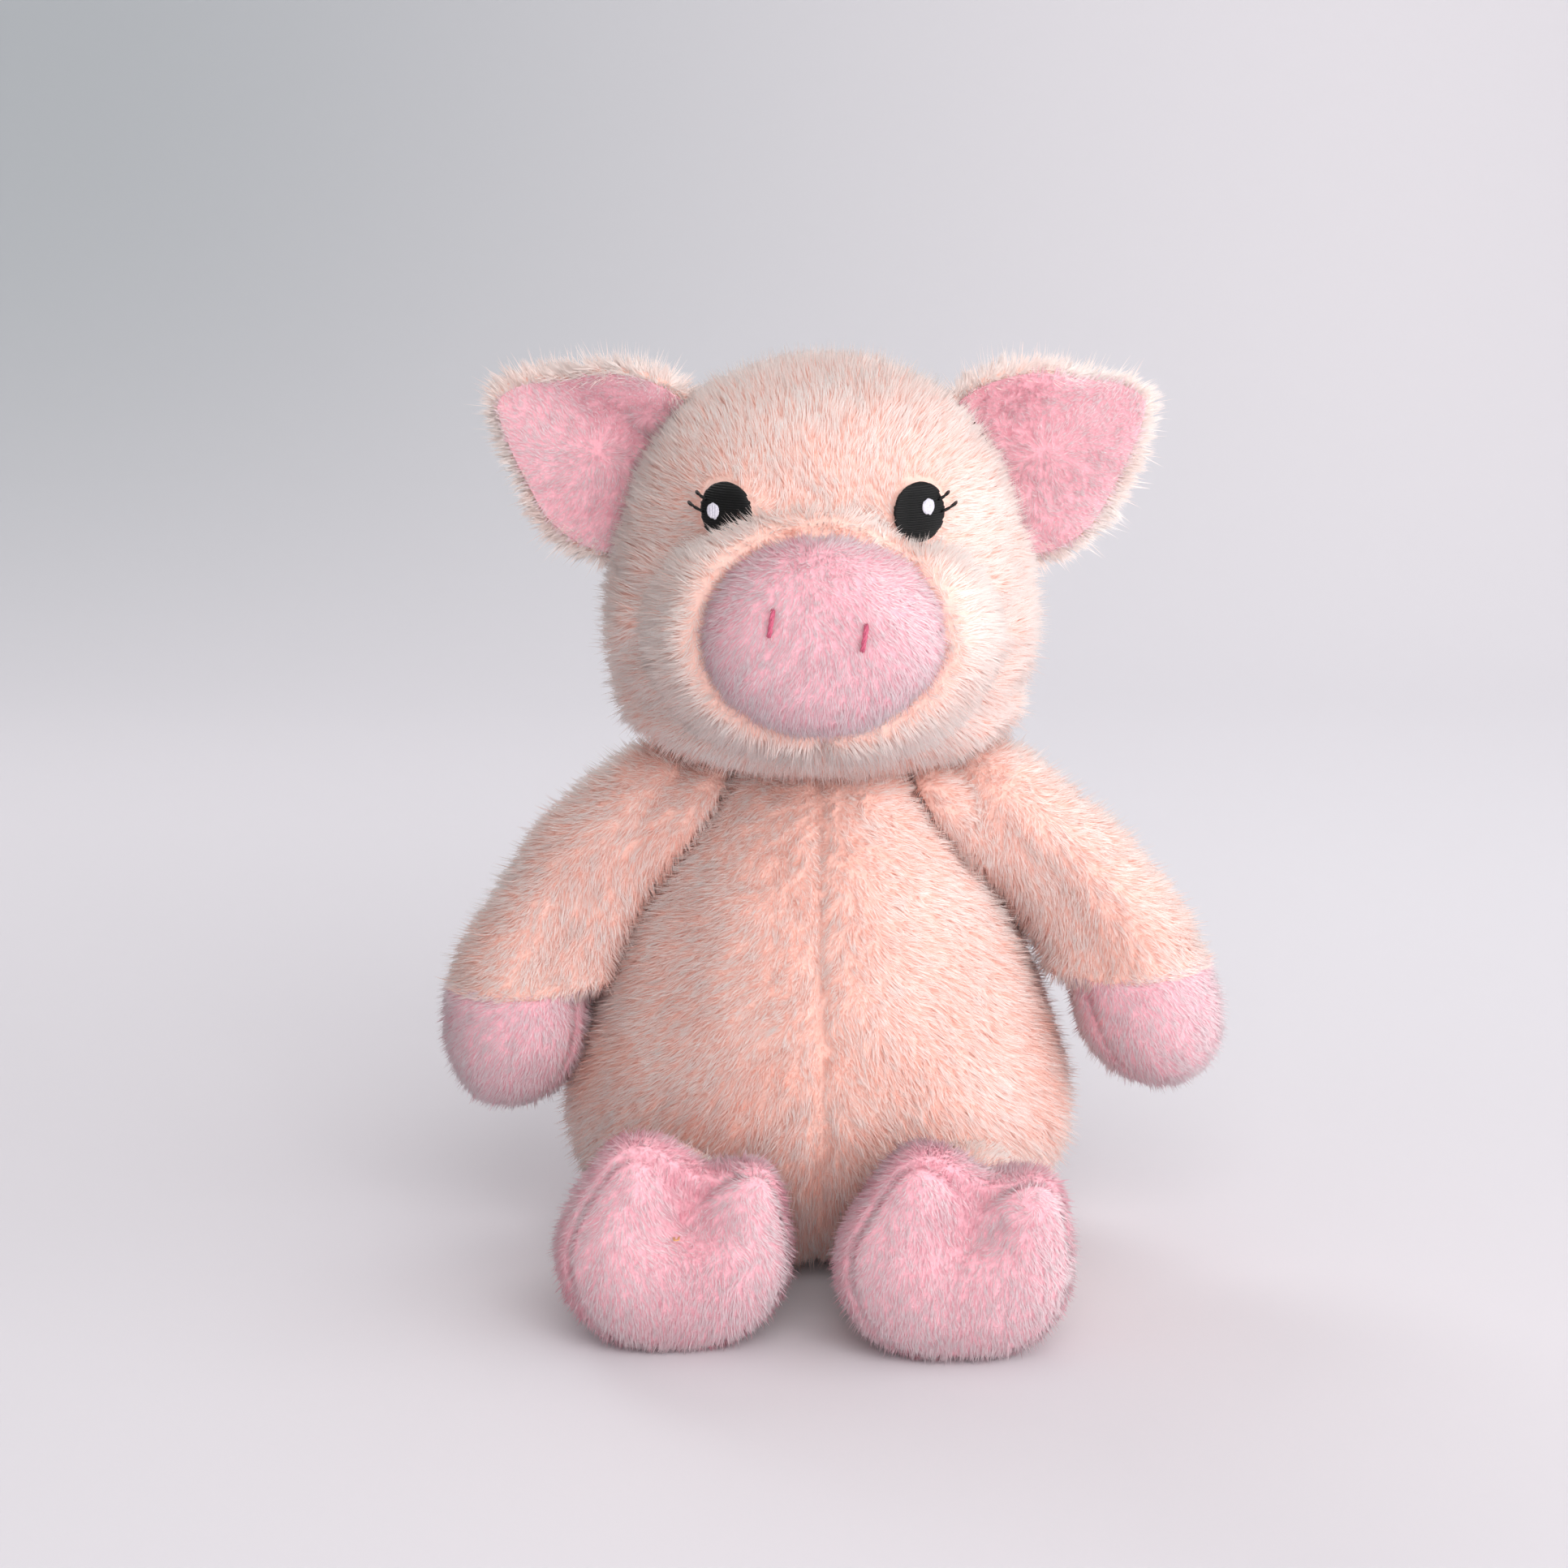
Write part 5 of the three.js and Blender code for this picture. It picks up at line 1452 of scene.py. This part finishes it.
class PIG_OT_stage(bpy.types.Operator):
    """The paper sweep, the soft lamps and the camera"""
    bl_idname = "pig.stage"
    bl_label = "Studio stage"

    def execute(self, context):
        studio = context.scene.pig_studio
        self.make_sweep(studio)
        for name, (place, size, power) in LAMPS.items():
            light = bpy.data.lights.new(f"{name} lamp", "AREA")
            light.size, light.energy = size, power * studio.brightness
            back = np.array(place) - LAMP_AIM
            tilt = math.acos(back[2] / np.linalg.norm(back))
            turn = math.atan2(back[1], back[0]) + math.pi / 2
            self.put(context, light, place, (tilt, 0, turn))

        world = bpy.data.worlds.new("room")
        world.use_nodes = True
        seen = Wire(world.node_tree, None).node("ShaderNodeLightPath")
        join(seen.mix((studio.sky,) * 3, tuple(studio.middle)), world.node_tree.nodes["Background"], "Color")
        context.scene.world = world
        context.scene.view_settings.view_transform = "Standard"

        camera = bpy.data.cameras.new("camera")
        camera.sensor_width = SENSOR_WIDTH
        camera.lens = LENS_PIXELS / FRAME_PIXELS * SENSOR_WIDTH
        level, rise = math.cos(studio.elevation), math.sin(studio.elevation)
        place = MIDDLE + AIM + studio.distance * np.array([0.0, -level, rise])
        context.scene.camera = self.put(context, camera, place, (math.pi / 2 - studio.elevation, 0, 0))
        return {"FINISHED"}

    def put(self, context, data, place, turned):
        """A lamp or a camera at its place."""
        holder = bpy.data.objects.new(data.name, data)
        holder.location, holder.rotation_euler = place, turned
        context.scene.collection.objects.link(holder)
        return holder

    def make_sweep(self, studio):
        """Paper that runs flat from near to the bend, up a quarter circle and straight up to its top."""
        half_width, near, front, start, bend, radius, top = 3.0, -2.0, -0.5, 0.2, 0.55, 0.55, 2.6
        turn = np.linspace(0, math.pi / 2, 24)
        profile = np.vstack([
            [[near, 0.0], [front, 0.0], [start, 0.0]],
            np.stack([bend + radius * np.sin(turn), radius - radius * np.cos(turn)], -1),
            [[bend + radius, top]],
        ])
        count, rows = 9, len(profile)
        points = np.stack([np.tile(np.linspace(-half_width, half_width, count), rows),
                           np.repeat(profile[:, 0], count), np.repeat(profile[:, 1], count)], -1)
        corner = (count * np.arange(rows - 1)[:, None] + np.arange(count - 1)).ravel()
        beyond = corner + count
        faces = np.vstack([
            np.stack([corner, corner + 1, beyond + 1], -1), np.stack([corner, beyond + 1, beyond], -1)])
        put_mesh("sweep", points - MIDDLE, faces, sweep_material(studio))


SETTINGS = {
    "pig_plush": PlushPile,
    "pig_minky": MinkyPile,
    "pig_threads": ThreadColours,
    "pig_studio": StudioSettings,
}
OPERATORS = (PIG_OT_stage, PIG_OT_torso, PIG_OT_tail, PIG_OT_head, PIG_OT_muzzle, PIG_OT_ears, PIG_OT_arms,
             PIG_OT_legs, PIG_OT_embroidery)


class PIG_PT_panel(bpy.types.Panel):
    """Every step of the plush pig, and the settings"""
    bl_idname = "PIG_PT_panel"
    bl_label = "Plush pig"
    bl_space_type = "VIEW_3D"
    bl_region_type = "UI"
    bl_category = "Plush pig"

    def draw(self, context):
        for operator in OPERATORS:
            self.layout.operator(operator.bl_idname)
        for name, kind in SETTINGS.items():
            box = self.layout.box()
            box.label(text=kind.__doc__)
            for setting in kind.__annotations__:
                box.prop(getattr(context.scene, name), setting)


def register():
    for kind in (*SETTINGS.values(), *OPERATORS, PIG_PT_panel):
        bpy.utils.register_class(kind)
    for name, kind in SETTINGS.items():
        setattr(bpy.types.Scene, name, bpy.props.PointerProperty(type=kind))


def unregister():
    for name in SETTINGS:
        delattr(bpy.types.Scene, name)
    for kind in (PIG_PT_panel, *OPERATORS, *SETTINGS.values()):
        bpy.utils.unregister_class(kind)


def main():
    """Builds the stage and every piece."""
    register()
    for operator in OPERATORS:
        group, action = operator.bl_idname.split(".")
        getattr(getattr(bpy.ops, group), action)()


if __name__ == "__main__":
    main()
